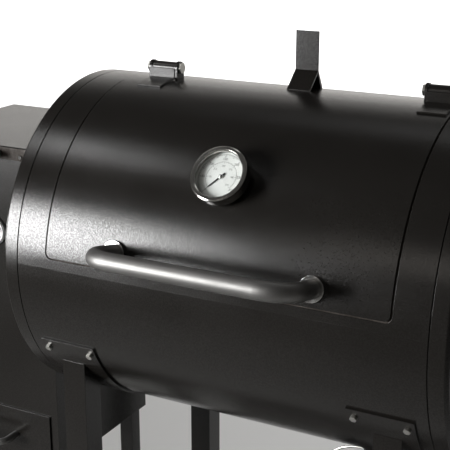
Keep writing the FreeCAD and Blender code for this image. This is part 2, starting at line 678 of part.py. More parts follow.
def leg_bracket(side, row):
    start = "%s*leg_spread + %s*bracket_shift - 0.5*bracket_width" % (side, -side)
    sweep = "bracket_bottom_angle - bracket_top_angle"
    first = "bracket_top_angle" if row == FRONT else "360 - bracket_bottom_angle"
    return ring_sheet(start, "bracket_width", "barrel_radius + 0.1", "barrel_radius + bracket_wall",
                      first, sweep)


def leg_bolts(side, row):
    middle = "%s*leg_spread + %s*bracket_shift" % (side, -side)
    angle = "bolt_angle" if row == FRONT else "360 - bolt_angle"
    turn = facing_out(angle)
    heads = []
    for offset in (-0.5, 0.5):
        y, z = on_barrel(angle, "barrel_radius + bracket_wall + 0.05")
        across = middle + " + %s*bolt_spread" % offset
        heads.append(hexagon(across, str(y), str(z), "bolt_radius", "bolt_head", turn))
    return heads


def base_frame():
    """Two long rails and three cross rails of square tube, welded into one frame."""
    rails = []
    for row in (FRONT, REAR):
        rails.append(block("rail_left", "%s*leg_depth - 0.5*leg_side" % row, "rail_bottom",
                           "rail_right - rail_left", "leg_side", "leg_side"))
    for middle in ("cross_left", "cross_middle", "leg_spread"):
        rails.append(block(middle + " - 0.5*leg_side", "-leg_depth", "rail_bottom", "leg_side",
                           "2*leg_depth", "leg_side"))
    piece("base_frame", fuse(*rails))


def bottom_shelf():
    """Slotted steel tray on the rails, between the legs."""
    body = new_body("bottom_shelf")
    sketch = new_sketch(body, "XY_Plane")
    right = "leg_spread - 0.5*leg_side - shelf_gap"
    depth = "leg_depth + 0.5*leg_side"
    rectangle(sketch, "0.5*leg_side + shelf_gap - leg_spread", right, "-0.5*leg_side - leg_depth", depth)
    pad(body, sketch, "shelf_wall")
    slots = new_sketch(body, "XY_Plane")
    count = int(value("2*leg_spread - leg_side - 2*shelf_gap - 30") // value("slot_pitch"))
    first = str(-0.5 * (count - 1) * value("slot_pitch"))
    rectangle(slots, first + " - 0.5*slot_width", first + " + 0.5*slot_width", "-0.5*slot_length",
              "0.5*slot_length")
    cutter = pocket_through(body, slots)
    pattern(body, cutter, slots, "H_Axis", "%d*slot_pitch" % (count - 1), count)
    put(body, "0", "0", RAIL_TOP)
    piece("bottom_shelf", body)


# ---------------------------------------------------------------- firebox

BOX_LID_TOP = "axis_height + firebox_top"
BOX_SHELL_TOP = BOX_LID_TOP + " - box_lid_wall - box_lid_gap"


def firebox_shell():
    """Open-topped box with openings for the drawer, the duct and the air."""
    outer = block(BOX_LEFT, "-0.5*firebox_depth", "firebox_floor", "firebox_width", "firebox_depth",
                  "%s - firebox_floor" % BOX_SHELL_TOP)
    inner = block(BOX_LEFT + " + firebox_wall", "firebox_wall - 0.5*firebox_depth",
                  "firebox_floor + firebox_wall", "firebox_width - 2*firebox_wall",
                  "firebox_depth - 2*firebox_wall", "%s - firebox_floor" % BOX_SHELL_TOP)
    drawer = block(BOX_MIDDLE + " - 0.5*drawer_width - drawer_gap", "-0.5*firebox_depth - 5",
                   "firebox_floor + firebox_wall", "drawer_width + 2*drawer_gap", "15",
                   "drawer_height + 2*drawer_gap")
    duct = block(BOX_RIGHT + " - 10", "-0.5*duct_width - duct_gap", DUCT_LOW + " - duct_gap", "20",
                 "duct_width + 2*duct_gap", "duct_height + 2*duct_gap")
    holes = vent_holes(BOX_LEFT + " - 5", "10")
    stud = rod(BOX_LEFT + " - stud_length", "0", "vent_rise", "stud_radius", "stud_length + 1", ALONG_X)
    piece("firebox_shell", fuse(cut(outer, inner, drawer, duct, *holes), stud))


def vent_holes(x, length):
    """Four round air holes about the vent's middle."""
    holes = []
    for across, up in ((-1, 0), (1, 0), (0, -1), (0, 1)):
        holes.append(rod(x, "%s*vent_pitch" % across, "vent_rise + %s*vent_pitch" % up, "vent_hole",
                         length, ALONG_X))
    return holes


def air_shutter():
    """Disc with the same four holes: turning it closes them."""
    x = BOX_LEFT + " - vent_gap - vent_wall"
    disc = rod(x, "0", "vent_rise", "vent_radius", "vent_wall", ALONG_X)
    tab = block(BOX_LEFT + " - vent_gap - vent_tab", "-6", "vent_rise + vent_radius - 6", "vent_tab", "12",
                "2")
    stem_hole = rod(x + " - 2", "0", "vent_rise", "stud_radius + pin_gap", "8", ALONG_X)
    piece("air_shutter", cut(fuse(disc, tab), stem_hole, *vent_holes(x + " - 2", "8")))


def firebox_lid():
    """Flat cover with a skirt on three sides; its back edge is rolled round the hinge pin."""
    left = BOX_LEFT + " - box_lid_lap"
    low = BOX_LID_TOP + " - box_lid_skirt"
    front = "-0.5*firebox_depth - box_lid_lap"
    width = "firebox_width + 2*box_lid_lap"
    outer = block(left, front, low, width, "firebox_depth + box_lid_lap + box_hinge_back", "box_lid_skirt")
    top = value(BOX_LID_TOP)

    def on_outer_edge(along, middle):
        upright = abs(along.z) > 0.9 and middle.y < 0
        on_top = abs(middle.z - top) < 0.01 and middle.y < value("frame_y + 0.5*firebox_depth")
        return upright or on_top

    shaped = rounded(outer, "box_lid_round", on_outer_edge)
    inner = block(left + " + box_lid_wall", front + " + box_lid_wall", low + " - 1",
                  width + " - 2*box_lid_wall", "2*firebox_depth", "box_lid_skirt + 1 - box_lid_wall")
    hinge_y, hinge_z = box_hinge_axis()
    back_cut = block(left + " - 1", "0.5*firebox_depth - 4", low + " - 1", width + " + 2", "60",
                     "box_lid_skirt + 1 - box_lid_wall")
    start = BOX_LEFT + " + box_hinge_inset"
    length = "firebox_width - 2*box_hinge_inset"
    tube = rod(start, hinge_y, hinge_z, "box_knuckle_radius", length, ALONG_X)
    bore = rod(start + " - 1", hinge_y, hinge_z, "box_pin_radius + pin_gap", length + " + 2", ALONG_X)
    rivets = []
    for side in (-1, 1):
        rivets.append(rod(BOX_MIDDLE + " + %s*rivet_spread" % side, front + " + 1",
                          BOX_LID_TOP + " - rivet_drop", "rivet_radius", "2.5", turned((1, 0, 0), 90)))
    piece("firebox_lid", cut(fuse(cut(shaped, inner, back_cut), tube, *rivets), bore))


def box_hinge_axis():
    return "0.5*firebox_depth + box_hinge_back", BOX_LID_TOP + " - box_lid_wall - box_knuckle_radius + 0.5"


def firebox_hinge():
    """Ears on the firebox's back and the pin that the lid's tube turns on."""
    hinge_y, hinge_z = box_hinge_axis()
    solids = []
    starts = (BOX_LEFT + " + box_hinge_inset - side_gap - ear_wall",
              BOX_RIGHT + " - box_hinge_inset + side_gap")
    for start in starts:
        ear = block(start, "0.5*firebox_depth + 0.05", hinge_z + " - box_ear_drop", "ear_wall",
                    "box_hinge_back - 0.05", "box_ear_drop")
        boss = rod(start, hinge_y, hinge_z, "box_knuckle_radius - 1", "ear_wall", ALONG_X)
        hole = rod(start + " - 1", hinge_y, hinge_z, "box_pin_radius", "ear_wall + 2", ALONG_X)
        solids.append(cut(fuse(ear, boss), hole))
    solids.append(rod(starts[0] + " - 2", hinge_y, hinge_z, "box_pin_radius - 0.01",
                      "firebox_width - 2*box_hinge_inset + 2*side_gap + 2*ear_wall + 4", ALONG_X))
    piece("firebox_hinge", group(*solids))


def front_handle(label, z, y, span, reach, bend, radius):
    bar = bent_bar(span, reach, bend, radius, "0.05")
    piece(label, put(bar, BOX_MIDDLE, y, z, turned((1, 0, 0), 90)))


def firebox_handles():
    front_handle("firebox_lid_handle", BOX_LID_TOP + " - 0.5*box_lid_skirt - 1",
                 "-0.5*firebox_depth - box_lid_lap", "box_handle_span", "box_handle_reach",
                 "box_handle_bend", "box_handle_radius")
    front_handle("drawer_handle", "firebox_floor + firebox_wall + 0.5*drawer_height",
                 "-0.5*firebox_depth - drawer_gap - firebox_wall", "box_handle_span",
                 "box_handle_reach", "box_handle_bend", "box_handle_radius")


def ash_drawer():
    """Open-topped pan behind a front plate that laps over the drawer's opening."""
    floor = "firebox_floor + firebox_wall + 0.3"
    left = BOX_MIDDLE + " - 0.5*drawer_width"
    front = "-0.5*firebox_depth - drawer_gap"
    pan = block(left, front, floor, "drawer_width", "drawer_depth", "drawer_height")
    hollow = block(left + " + firebox_wall", front + " + firebox_wall", floor + " + firebox_wall",
                   "drawer_width - 2*firebox_wall", "drawer_depth - 2*firebox_wall", "drawer_height")
    plate = block(left + " - drawer_front_lap", front + " - firebox_wall", "firebox_floor + 0.3",
                  "drawer_width + 2*drawer_front_lap", "firebox_wall", "drawer_height + drawer_front_lap")
    piece("ash_drawer", fuse(cut(pan, hollow), plate))


def firebox_stand():
    """Four short posts from the cross rails to the firebox's floor."""
    posts = []
    for middle in ("cross_left", "cross_middle"):
        for row in (FRONT, REAR):
            y = "%s*0.5*firebox_depth - %s*post_inset" % (row, row)
            outer = block(middle + " - 0.5*post_side", y + " - 0.5*post_side", RAIL_TOP, "post_side",
                          "post_side", "firebox_floor - rail_bottom - leg_side")
            inner = block(middle + " - 0.5*post_side + tube_wall", y + " - 0.5*post_side + tube_wall",
                          RAIL_TOP + " - 1", "post_side - 2*tube_wall", "post_side - 2*tube_wall",
                          "firebox_floor - rail_bottom - leg_side + 2")
            posts.append(cut(outer, inner))
    piece("firebox_stand", group(*posts))


def heat_duct():
    """Rectangular sleeve that carries the fire's heat through the barrel's left end."""
    left = BOX_RIGHT + " - firebox_wall"
    length = "firebox_wall + firebox_gap + cap_depth + duct_reach"
    outer = block(left, "-0.5*duct_width", DUCT_LOW, length, "duct_width", "duct_height")
    inner = block(left + " - 1", "duct_wall - 0.5*duct_width", DUCT_LOW + " + duct_wall", length + " + 2",
                  "duct_width - 2*duct_wall", "duct_height - 2*duct_wall")
    piece("heat_duct", cut(outer, inner))


def name_plate():
    """Plain oval plate on the firebox's front, with nothing on it."""
    disc = bind(doc.addObject("Part::Ellipse", "oval"), MajorRadius="0.5*plate_width",
                MinorRadius="0.5*plate_height")
    solid = doc.addObject("Part::Extrusion", "plate")
    solid.Base = disc
    solid.DirMode = "Custom"
    solid.Dir = FreeCAD.Vector(0, 0, 1)
    solid.Solid = True
    bind(solid, LengthFwd="plate_wall")
    put(solid, BOX_MIDDLE, "-0.5*firebox_depth", "axis_height + plate_rise", turned((1, 0, 0), 90))
    piece("blank_plate", solid)


def slotted_plate(label, left, right, low, high, wall, slot_low, slot_high, slot, pitch):
    """Cast plate with a row of slots across it: bars between the slots carry the load."""
    body = new_body(label)
    sketch = new_sketch(body, "XY_Plane")
    rectangle(sketch, left, right, low, high)
    pad(body, sketch, wall)
    run = value(right) - value(left)
    count = int((run - 2 * value(slot)) // value(pitch))
    middle = 0.5 * (value(left) + value(right))
    first = str(middle - 0.5 * (count - 1) * value(pitch))
    slots = new_sketch(body, "XY_Plane")
    for start, end in zip(slot_low, slot_high):
        rectangle(slots, first + " - 0.5*" + slot, first + " + 0.5*" + slot, start, end)
    cutter = pocket_through(body, slots)
    pattern(body, cutter, slots, "H_Axis", "%d*%s" % (count - 1, pitch), count)
    return body


def coal_grate():
    half_x = "0.5*firebox_width - firebox_wall - coal_gap"
    half_y = "0.5*firebox_depth - firebox_wall - coal_gap"
    body = slotted_plate("coal_grate", "coal_gap + firebox_wall - 0.5*firebox_width", half_x,
                         "coal_gap + firebox_wall - 0.5*firebox_depth", half_y, "coal_grate_wall",
                         ["20 - " + half_y.replace(" - ", " + ")], [half_y + " - 20"], "grate_slot",
                         "grate_pitch")
    piece("coal_grate", put(body, BOX_MIDDLE, "0", "coal_grate_height"))


# ---------------------------------------------------------------- inside the chamber

def cooking_grates():
    half = "0.5*barrel_length - spigot_depth - grate_gap"
    sides = {"left_grate": ("grate_gap - 0.5*barrel_length + spigot_depth", "-0.5*grate_gap"),
             "right_grate": ("0.5*grate_gap", half)}
    for label, (left, right) in sides.items():
        body = slotted_plate(label, left, right, "-grate_half_depth", "grate_half_depth", "grate_wall",
                             ["14 - grate_half_depth", "8"], ["-8", "grate_half_depth - 14"],
                             "grate_slot", "grate_pitch")
        piece(label, put(body, "0", "0", "axis_height - grate_drop"))


def warming_rack():
    body = slotted_plate("warming_rack", "-0.5*rack_length", "0.5*rack_length", "-rack_front",
                         "rack_back", "rack_wall", ["10 - rack_front"], ["rack_back - 10"],
                         "slot_width", "grate_pitch")
    piece("warming_rack", put(body, "0", "0", "axis_height + rack_rise"))


def baffle_plate():
    """Steel sheet over the duct's mouth that spreads the heat along the chamber."""
    body = new_body("baffle_plate")
    sketch = new_sketch(body, "XY_Plane")
    rectangle(sketch, "-0.5*baffle_length", "0.5*baffle_length", "-baffle_half_depth",
              "baffle_half_depth")
    pad(body, sketch, "baffle_wall")
    holes = new_sketch(body, "XY_Plane")
    for across in (-1, 0, 1):
        circle(holes, "0.4*baffle_length", "%s*0.6*baffle_half_depth" % across, "vent_hole")
    cutter = pocket_through(body, holes)
    pattern(body, cutter, holes, "H_Axis", "0.8*baffle_length", 6)
    body.Tip.Reversed = True
    put(body, "0", "0", "axis_height - baffle_drop")
    piece("baffle_plate", body)


def ledges():
    """Bars that the grates, the rack and the baffle lie on."""
    solids = []
    length, left = "ledge_length", "-0.5*ledge_length"
    for drop in ("grate_drop", "baffle_drop"):
        rise = -(value(drop) + value("ledge_wall"))
        reach = math.sqrt(value("barrel_radius - barrel_wall") ** 2 - rise ** 2) - 0.3
        z = "axis_height - %s - ledge_wall" % drop
        solids.append(block(left, str(-reach), z, length, "ledge_reach", "ledge_wall"))
        solids.append(block(left, "%s - ledge_reach" % reach, z, length, "ledge_reach", "ledge_wall"))
    top = value("rack_rise")
    reach = math.sqrt(value("barrel_radius - barrel_wall") ** 2 - top ** 2) - 0.3
    z = "axis_height + rack_rise - ledge_wall"
    solids.append(block(left, "rack_back - 8", z, length, "%s - rack_back + 8" % reach, "ledge_wall"))
    face = "0.5*barrel_length + cap_depth - cap_wall"
    lug = face + " - 0.5*rack_length + 12"
    for start in ("0.05 - 0.5*barrel_length - cap_depth + cap_wall", "0.5*rack_length - 12.05"):
        solids.append(block(start, "6 - rack_front", z, lug, "16", "ledge_wall"))
    for start in (BOX_LEFT + " + firebox_wall + 0.05", BOX_RIGHT + " - firebox_wall - 16.05"):
        solids.append(block(start, "12 - 0.5*firebox_depth", "coal_grate_height - ledge_wall", "16",
                            "firebox_depth - 24", "ledge_wall"))
    piece("ledges", group(*solids))


# ---------------------------------------------------------------- chimney

def tube_bend(radius, x, y, z):
    """Pipe that leaves along +X and turns up to +Z, as one solid."""
    straight = rod(x, y, z, radius, "elbow_straight", ALONG_X)
    corner = bind(doc.addObject("Part::Torus", "corner"), Radius1="elbow_bend", Radius2=radius)
    corner.Angle3 = 90
    put(corner, x + " + elbow_straight", y, z + " + elbow_bend", turned((1, 0, 0), 90)
        * turned((0, 0, 1), -90))
    return fuse(straight, corner)


def chimney():
    start = "0.5*barrel_length + cap_depth - cap_wall - elbow_inset"
    y, z = "chimney_back", "axis_height + chimney_rise"
    flange = rod("0.5*barrel_length + cap_depth + 0.05", y, z, "flange_radius", "flange_wall", ALONG_X)
    top = "axis_height + chimney_rise + elbow_bend"
    middle = start + " + elbow_straight + elbow_bend"
    neck = rod(middle, y, top, "elbow_radius", "pipe_lap")
    neck_bore = rod(middle, y, top, "elbow_radius - flue_wall", "pipe_lap")
    outer = fuse(tube_bend("elbow_radius", start, y, z), flange, neck)
    bore = fuse(tube_bend("elbow_radius - flue_wall", start, y, z), neck_bore)
    piece("chimney_elbow", cut(outer, bore))
    low = top + " + 1"
    pipe = rod(middle, y, low, "pipe_radius", "pipe_length")
    pipe_bore = rod(middle, y, low + " - 1", "pipe_radius - flue_wall", "pipe_length + 2")
    boss_y = y + " + pipe_radius + 0.5*damper_boss"
    boss_low = low + " + pipe_length - damper_boss_length"
    boss = rod(middle, boss_y, boss_low, "damper_boss", "damper_boss_length")
    pin = rod(middle, boss_y, boss_low, "damper_pin", "damper_boss_length + damper_wall + 4")
    head = rod(middle, boss_y, low + " + pipe_length + damper_gap + damper_wall + 0.5", "damper_boss - 1",
               "3")
    piece("chimney_pipe", cut(fuse(cut(fuse(pipe, boss), pipe_bore), pin, head)))
    disc_z = low + " + pipe_length + damper_gap"
    disc = rod(middle, y, disc_z, "damper_radius", "damper_wall")
    ear = rod(middle, boss_y, disc_z, "damper_boss + 2", "damper_wall")
    hole = rod(middle, boss_y, disc_z + " - 1", "damper_pin + pin_gap", "damper_wall + 2")
    piece("chimney_damper", cut(fuse(disc, ear), hole))


# ---------------------------------------------------------------- drain and bucket

HOOK_Y = "-drain_radius - 0.5*hook_reach"
HOOK_Z = "axis_height - barrel_radius - drain_length + 8"


def drain_spout():
    """Tube through the lowest point of the barrel, with a hook for the bucket on its front."""
    low = "axis_height - barrel_radius - drain_length"
    tube = rod("drain_x", "0", low, "drain_radius", "drain_length + barrel_wall + 2")
    hook = rod("drain_x", "-drain_radius - hook_reach", HOOK_Z, "hook_wire", "hook_reach + 1", ALONG_Y)
    tip = rod("drain_x", "-drain_radius - hook_reach", HOOK_Z + " - hook_wire - 1", "hook_wire + 0.5",
              "hook_rise")
    bore = rod("drain_x", "0", low + " - 1", "drain_radius - drain_wall", "drain_length + 20")
    piece("drain_spout", cut(fuse(tube, hook, tip), bore))


BAIL_TOP = HOOK_Z + " + hook_wire + bail_gap + bail_wire"
EAR_Z = BAIL_TOP + " - bail_rise"


def grease_bucket():
    """Tapered pail with a turned-out rim and two ears for its bail."""
    body = new_body("bucket_blank")
    sketch = new_sketch(body, "XZ_Plane")
    foot = "bucket_foot_radius - bucket_wall"
    outline(sketch, [
        ("0", "0"), ("bucket_foot_radius", "0"), ("bucket_radius", "bucket_height - 4"),
        ("bucket_radius + 3", "bucket_height - 4"), ("bucket_radius + 3", "bucket_height"),
        ("bucket_radius - bucket_wall", "bucket_height"), (foot, "bucket_wall"), ("0", "bucket_wall"),
    ])
    revolve(body, sketch, "V_Axis")
    put(body, "drain_x", HOOK_Y, EAR_Z + " - bucket_height - ear_gap")
    studs = []
    for side in (-1, 1):
        reach = value("bucket_radius + 3")
        start = "drain_x + %s" % (reach - 3.0) if side > 0 else "drain_x - %s" % (reach + 5.0)
        stud = rod(start, HOOK_Y, EAR_Z, "bail_wire", "8", ALONG_X)
        post_x = "drain_x + %s" % (side * (reach - 1.5) - 1.5)
        post = block(post_x, HOOK_Y + " - 4", EAR_Z + " - ear_gap - 3", "3", "8", "ear_gap + 7")
        studs += [stud, post]
    piece("grease_bucket", fuse(body, *studs))


def bucket_bail():
    """Wire bent up over the hook, with an eye round each of the bucket's studs."""
    arch = bent_bar("2*bail_rise", "bail_rise", "bail_bend", "bail_wire", "0")
    put(arch, "drain_x", HOOK_Y, EAR_Z)
    eyes, bores = [], []
    for side in (-1, 1):
        x = "drain_x + %s*bail_rise - 1.15*bail_wire" % side
        eyes.append(rod(x, HOOK_Y, EAR_Z, "2.6*bail_wire", "2.3*bail_wire", ALONG_X))
        bores.append(rod(x + " - 2", HOOK_Y, EAR_Z, "bail_wire + pin_gap", "3*bail_wire + 4", ALONG_X))
    piece("bucket_bail", cut(fuse(arch, *eyes), *bores))


# ---------------------------------------------------------------- wheels and casters

def wheels():
    """Two spoked-disc wheels with rubber tyres, free on one axle."""
    for row, word in ((FRONT, "front"), (REAR, "rear")):
        rim = "wheel_radius - tyre_wall"
        body = new_body(word + "_wheel")
        sketch = new_sketch(body, "XZ_Plane")
        half, web = "0.5*wheel_width", "0.5*web_wall"
        outline(sketch, [
            ("axle_radius + axle_gap", "-" + half), ("hub_radius", "-" + half), ("hub_radius", "-" + web),
            (rim + " - 8", "-" + web), (rim + " - 8", "-" + half + " + 3"), (rim, "-" + half + " + 3"),
            (rim, half + " - 3"), (rim + " - 8", half + " - 3"), (rim + " - 8", web),
            ("hub_radius", web), ("hub_radius", half), ("axle_radius + axle_gap", half),
        ])
        revolve(body, sketch, "V_Axis")
        holes = new_sketch(body, "XY_Plane")
        circle(holes, "web_pitch", "0", "web_hole")
        polar(body, pocket_through(body, holes), holes, 6)
        y = "%s*leg_depth + %s*0.5*leg_side + %s*wheel_clear + %s*0.5*wheel_width" % (row, row, row, row)
        put(body, "leg_spread", y, "wheel_radius", turned((1, 0, 0), 90))
        piece(word + "_wheel", body)
        tyre = new_body(word + "_tyre")
        band = new_sketch(tyre, "XZ_Plane")
        outline(band, [
            (rim + " + 0.02", "3 - " + half), ("wheel_radius - tyre_round", "-" + half),
            ("wheel_radius - 0.3*tyre_round", "0.25*tyre_round - " + half),
            ("wheel_radius", "tyre_round - " + half), ("wheel_radius", half + " - tyre_round"),
            ("wheel_radius - 0.3*tyre_round", half + " - 0.25*tyre_round"),
            ("wheel_radius - tyre_round", half), (rim + " + 0.02", half + " - 3"),
        ])
        revolve(tyre, band, "V_Axis")
        put(tyre, "leg_spread", y, "wheel_radius", turned((1, 0, 0), 90))
        piece(word + "_tyre", tyre)


AXLE_HALF = "leg_depth + 0.5*leg_side + wheel_clear + wheel_width + axle_spare"
AXLE_FRONT = "-leg_depth - 0.5*leg_side - wheel_clear - wheel_width - axle_spare"


def axle():
    reach = value(AXLE_HALF + " + nut_wall")
    piece("wheel_axle", rod("leg_spread", str(-reach), "wheel_radius", "axle_radius", str(2 * reach), ALONG_Y))
    nuts, ears = [], []
    for row in (FRONT, REAR):
        start = AXLE_HALF if row == REAR else AXLE_FRONT + " - nut_wall"
        nut = hexagon("leg_spread", start, "wheel_radius", "nut_radius", "nut_wall", ALONG_Y)
        hole = rod("leg_spread", start + " - 1", "wheel_radius", "axle_radius + 0.02", "nut_wall + 2", ALONG_Y)
        nuts.append(cut(nut, hole))
        middle = "%s*leg_depth - 0.5*axle_ear_wall" % row
        low = "wheel_radius - axle_radius - 7"
        ear = block("leg_spread - 0.5*axle_ear_width", middle, low, "axle_ear_width", "axle_ear_wall",
                    "rail_bottom - wheel_radius + axle_radius + 7")
        bore = rod("leg_spread", middle + " - 1", "wheel_radius", "axle_radius + 0.02", "axle_ear_wall + 2",
                   ALONG_Y)
        ears.append(cut(ear, bore))
    piece("axle_nuts", group(*nuts))
    piece("axle_ears", group(*ears))


def casters():
    """Swivel casters under the frame's left end, each with a foot brake."""
    plates = []
    top = "rail_bottom"
    for row, word in ((FRONT, "front"), (REAR, "rear")):
        y = "%s*leg_depth" % row
        plate = block("caster_x - 0.5*caster_plate", y + " - 0.5*caster_plate", top + " - caster_plate_wall",
                      "caster_plate", "caster_plate", "caster_plate_wall - 0.05")
        kingpin = rod("caster_x", y, top + " - caster_plate_wall - 9", "kingpin_radius", "9 + 2")
        nut = rod("caster_x", y, top + " - caster_plate_wall - 11", "kingpin_radius + 4", "3")
        plates.append(fuse(plate, kingpin, nut))
        fork_top = top + " - caster_plate_wall - swivel_gap"
        crown = rod("caster_x", y, fork_top + " - 4", "swivel_radius", "4")
        half = "0.5*caster_width + fork_gap"
        bridge = block("caster_x - 12", y + " - " + half.replace(" + ", " - ") + " - fork_wall",
                       fork_top + " - 4", "caster_trail + 24", "caster_width + 2*fork_gap + 2*fork_wall", "4")
        parts = [crown, bridge]
        wheel_x, wheel_z = "caster_x + caster_trail", "caster_radius"
        for side in (FRONT, REAR):
            edge = y + (" - 0.5*caster_width - fork_gap - fork_wall" if side == FRONT
                        else " + 0.5*caster_width + fork_gap")
            cheek = block(wheel_x + " - 13", edge, wheel_z, "26", "fork_wall",
                          fork_top + " - 2 - caster_radius")
            cheek_end = rod(wheel_x, edge, wheel_z, "13", "fork_wall", ALONG_Y)
            parts += [cheek, cheek_end]
        axle_y = y + " - 0.5*caster_width - fork_gap - fork_wall - 1.5"
        axle_length = "caster_width + 2*fork_gap + 2*fork_wall + 3"
        pin = rod(wheel_x, axle_y, wheel_z, "caster_axle", axle_length, ALONG_Y)
        socket = rod("caster_x", y, fork_top + " - 5", "kingpin_radius + pin_gap", "6")
        rebate = rod("caster_x", y, top + " - caster_plate_wall - 11.4", "kingpin_radius + 4.4", "3.9")
        piece(word + "_caster_fork", fuse(cut(fuse(*parts), socket, rebate), pin))
        piece(word + "_caster_wheel", caster_wheel(word, wheel_x, y, wheel_z))
        piece(word + "_caster_brake", caster_brake(wheel_x, y, fork_top))
    piece("caster_plates", group(*plates))


def caster_wheel(word, x, y, z):
    body = new_body(word + "_caster_wheel_blank")
    sketch = new_sketch(body, "XZ_Plane")
    half = "0.5*caster_width"
    outline(sketch, [
        ("caster_axle + axle_gap", "-" + half), ("caster_hub", "-" + half), ("caster_hub + 3", "3 - " + half),
        ("caster_radius - 12", "3 - " + half), ("caster_radius - 9", "-" + half),
        ("caster_radius - 4", "-" + half), ("caster_radius", "5 - " + half),
        ("caster_radius", half + " - 5"), ("caster_radius - 4", half), ("caster_radius - 9", half),
        ("caster_radius - 12", half + " - 3"), ("caster_hub + 3", half + " - 3"), ("caster_hub", half),
        ("caster_axle + axle_gap", half),
    ])
    revolve(body, sketch, "V_Axis")
    return put(body, x, y, z, turned((1, 0, 0), 90))


def caster_brake(x, y, fork_top):
    """Pedal on a cross tube behind the wheel."""
    pivot_x = x + " + brake_offset"
    pivot_z = fork_top + " - 10"
    tube = rod(pivot_x, y + " - 0.5*caster_width - fork_gap + 0.3", pivot_z, "4",
               "caster_width + 2*fork_gap - 0.6", ALONG_Y)
    pedal = block(pivot_x, y + " - 0.5*caster_width + 1", pivot_z + " + 4 - brake_wall", "brake_length",
                  "caster_width - 2", "brake_wall")
    return fuse(tube, pedal)


# ---------------------------------------------------------------- build and write

def build():
    fill_sheet()
    for make in (upper_shell, lower_shell, end_caps, lid, lid_hinges, lid_rest, lid_handle, thermometer,
                 legs, base_frame, bottom_shelf, firebox_shell, air_shutter, firebox_lid, firebox_hinge,
                 firebox_handles, ash_drawer, firebox_stand, heat_duct, name_plate, coal_grate,
                 cooking_grates, warming_rack, baffle_plate, ledges, chimney, drain_spout,
                 grease_bucket, bucket_bail, wheels, axle, casters):
        make()
    doc.recompute()


def check_and_write():
    faults = []
    for obj in doc.Objects:
        if "Invalid" in obj.State or "Error" in obj.State:
            faults.append("%s (%s) %s" % (obj.Name, obj.Label, obj.State))
    for label, obj in PIECES.items():
        shape = obj.Shape
        if shape.isNull() or not shape.isValid() or not shape.Solids:
            faults.append("%s has no valid shape" % label)
    if faults:
        raise RuntimeError("; ".join(faults))
    os.makedirs("parts", exist_ok=True)
    for label, obj in PIECES.items():
        obj.Shape.exportStep("parts/%s.step" % label)
    print("%d sub-parts written" % len(PIECES))


build()
check_and_write()
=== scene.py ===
import json
import math

import bmesh
import bpy
import numpy as np
from mathutils import Matrix, Vector, noise


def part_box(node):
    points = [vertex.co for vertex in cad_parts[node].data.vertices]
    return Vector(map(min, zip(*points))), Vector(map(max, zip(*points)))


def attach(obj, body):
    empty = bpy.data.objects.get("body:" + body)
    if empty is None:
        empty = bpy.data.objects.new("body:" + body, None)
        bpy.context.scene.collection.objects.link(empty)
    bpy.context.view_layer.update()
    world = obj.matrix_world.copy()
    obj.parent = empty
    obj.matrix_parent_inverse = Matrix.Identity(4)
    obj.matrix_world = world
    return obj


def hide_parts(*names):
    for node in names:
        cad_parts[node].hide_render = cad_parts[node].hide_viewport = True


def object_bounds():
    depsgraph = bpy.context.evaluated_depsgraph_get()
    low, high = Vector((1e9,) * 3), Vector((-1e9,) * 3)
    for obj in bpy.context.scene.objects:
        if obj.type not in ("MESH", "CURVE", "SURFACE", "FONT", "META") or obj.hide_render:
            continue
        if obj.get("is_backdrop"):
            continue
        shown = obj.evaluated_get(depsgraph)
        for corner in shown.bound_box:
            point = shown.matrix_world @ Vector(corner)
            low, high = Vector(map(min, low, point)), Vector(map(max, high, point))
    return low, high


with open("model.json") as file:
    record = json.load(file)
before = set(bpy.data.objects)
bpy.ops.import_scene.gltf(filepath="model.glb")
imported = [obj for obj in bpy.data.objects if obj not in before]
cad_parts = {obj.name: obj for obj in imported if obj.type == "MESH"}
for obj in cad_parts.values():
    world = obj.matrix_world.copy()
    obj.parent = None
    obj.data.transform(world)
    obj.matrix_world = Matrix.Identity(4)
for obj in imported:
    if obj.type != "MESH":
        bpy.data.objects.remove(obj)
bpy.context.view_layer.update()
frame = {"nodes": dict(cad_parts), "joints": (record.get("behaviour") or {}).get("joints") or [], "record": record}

nodes = frame["nodes"]
joints = {joint["name"]: joint for joint in frame["joints"]}
slots = {part["node"]: part["material_slot"] for part in frame["record"]["subparts"]}


# Directions and places that the rest is built from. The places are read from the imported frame.

X, Y, Z = Vector((1, 0, 0)), Vector((0, 1, 0)), Vector((0, 0, 1))


def middle(node):
    """The centre of a node's box."""
    low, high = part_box(node)
    return (low + high) / 2


barrel = middle("left_end_cap")
barrel.x = middle("upper_shell").x
barrel_radius = (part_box("left_end_cap")[1].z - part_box("left_end_cap")[0].z) / 2
needle = joints["needle_turn"]
dial_centre = Vector(needle["pos_m"])
dial_out = -Vector(needle["axis"]).normalized()
dial_right = X
dial_up = dial_out.cross(dial_right)


# Materials

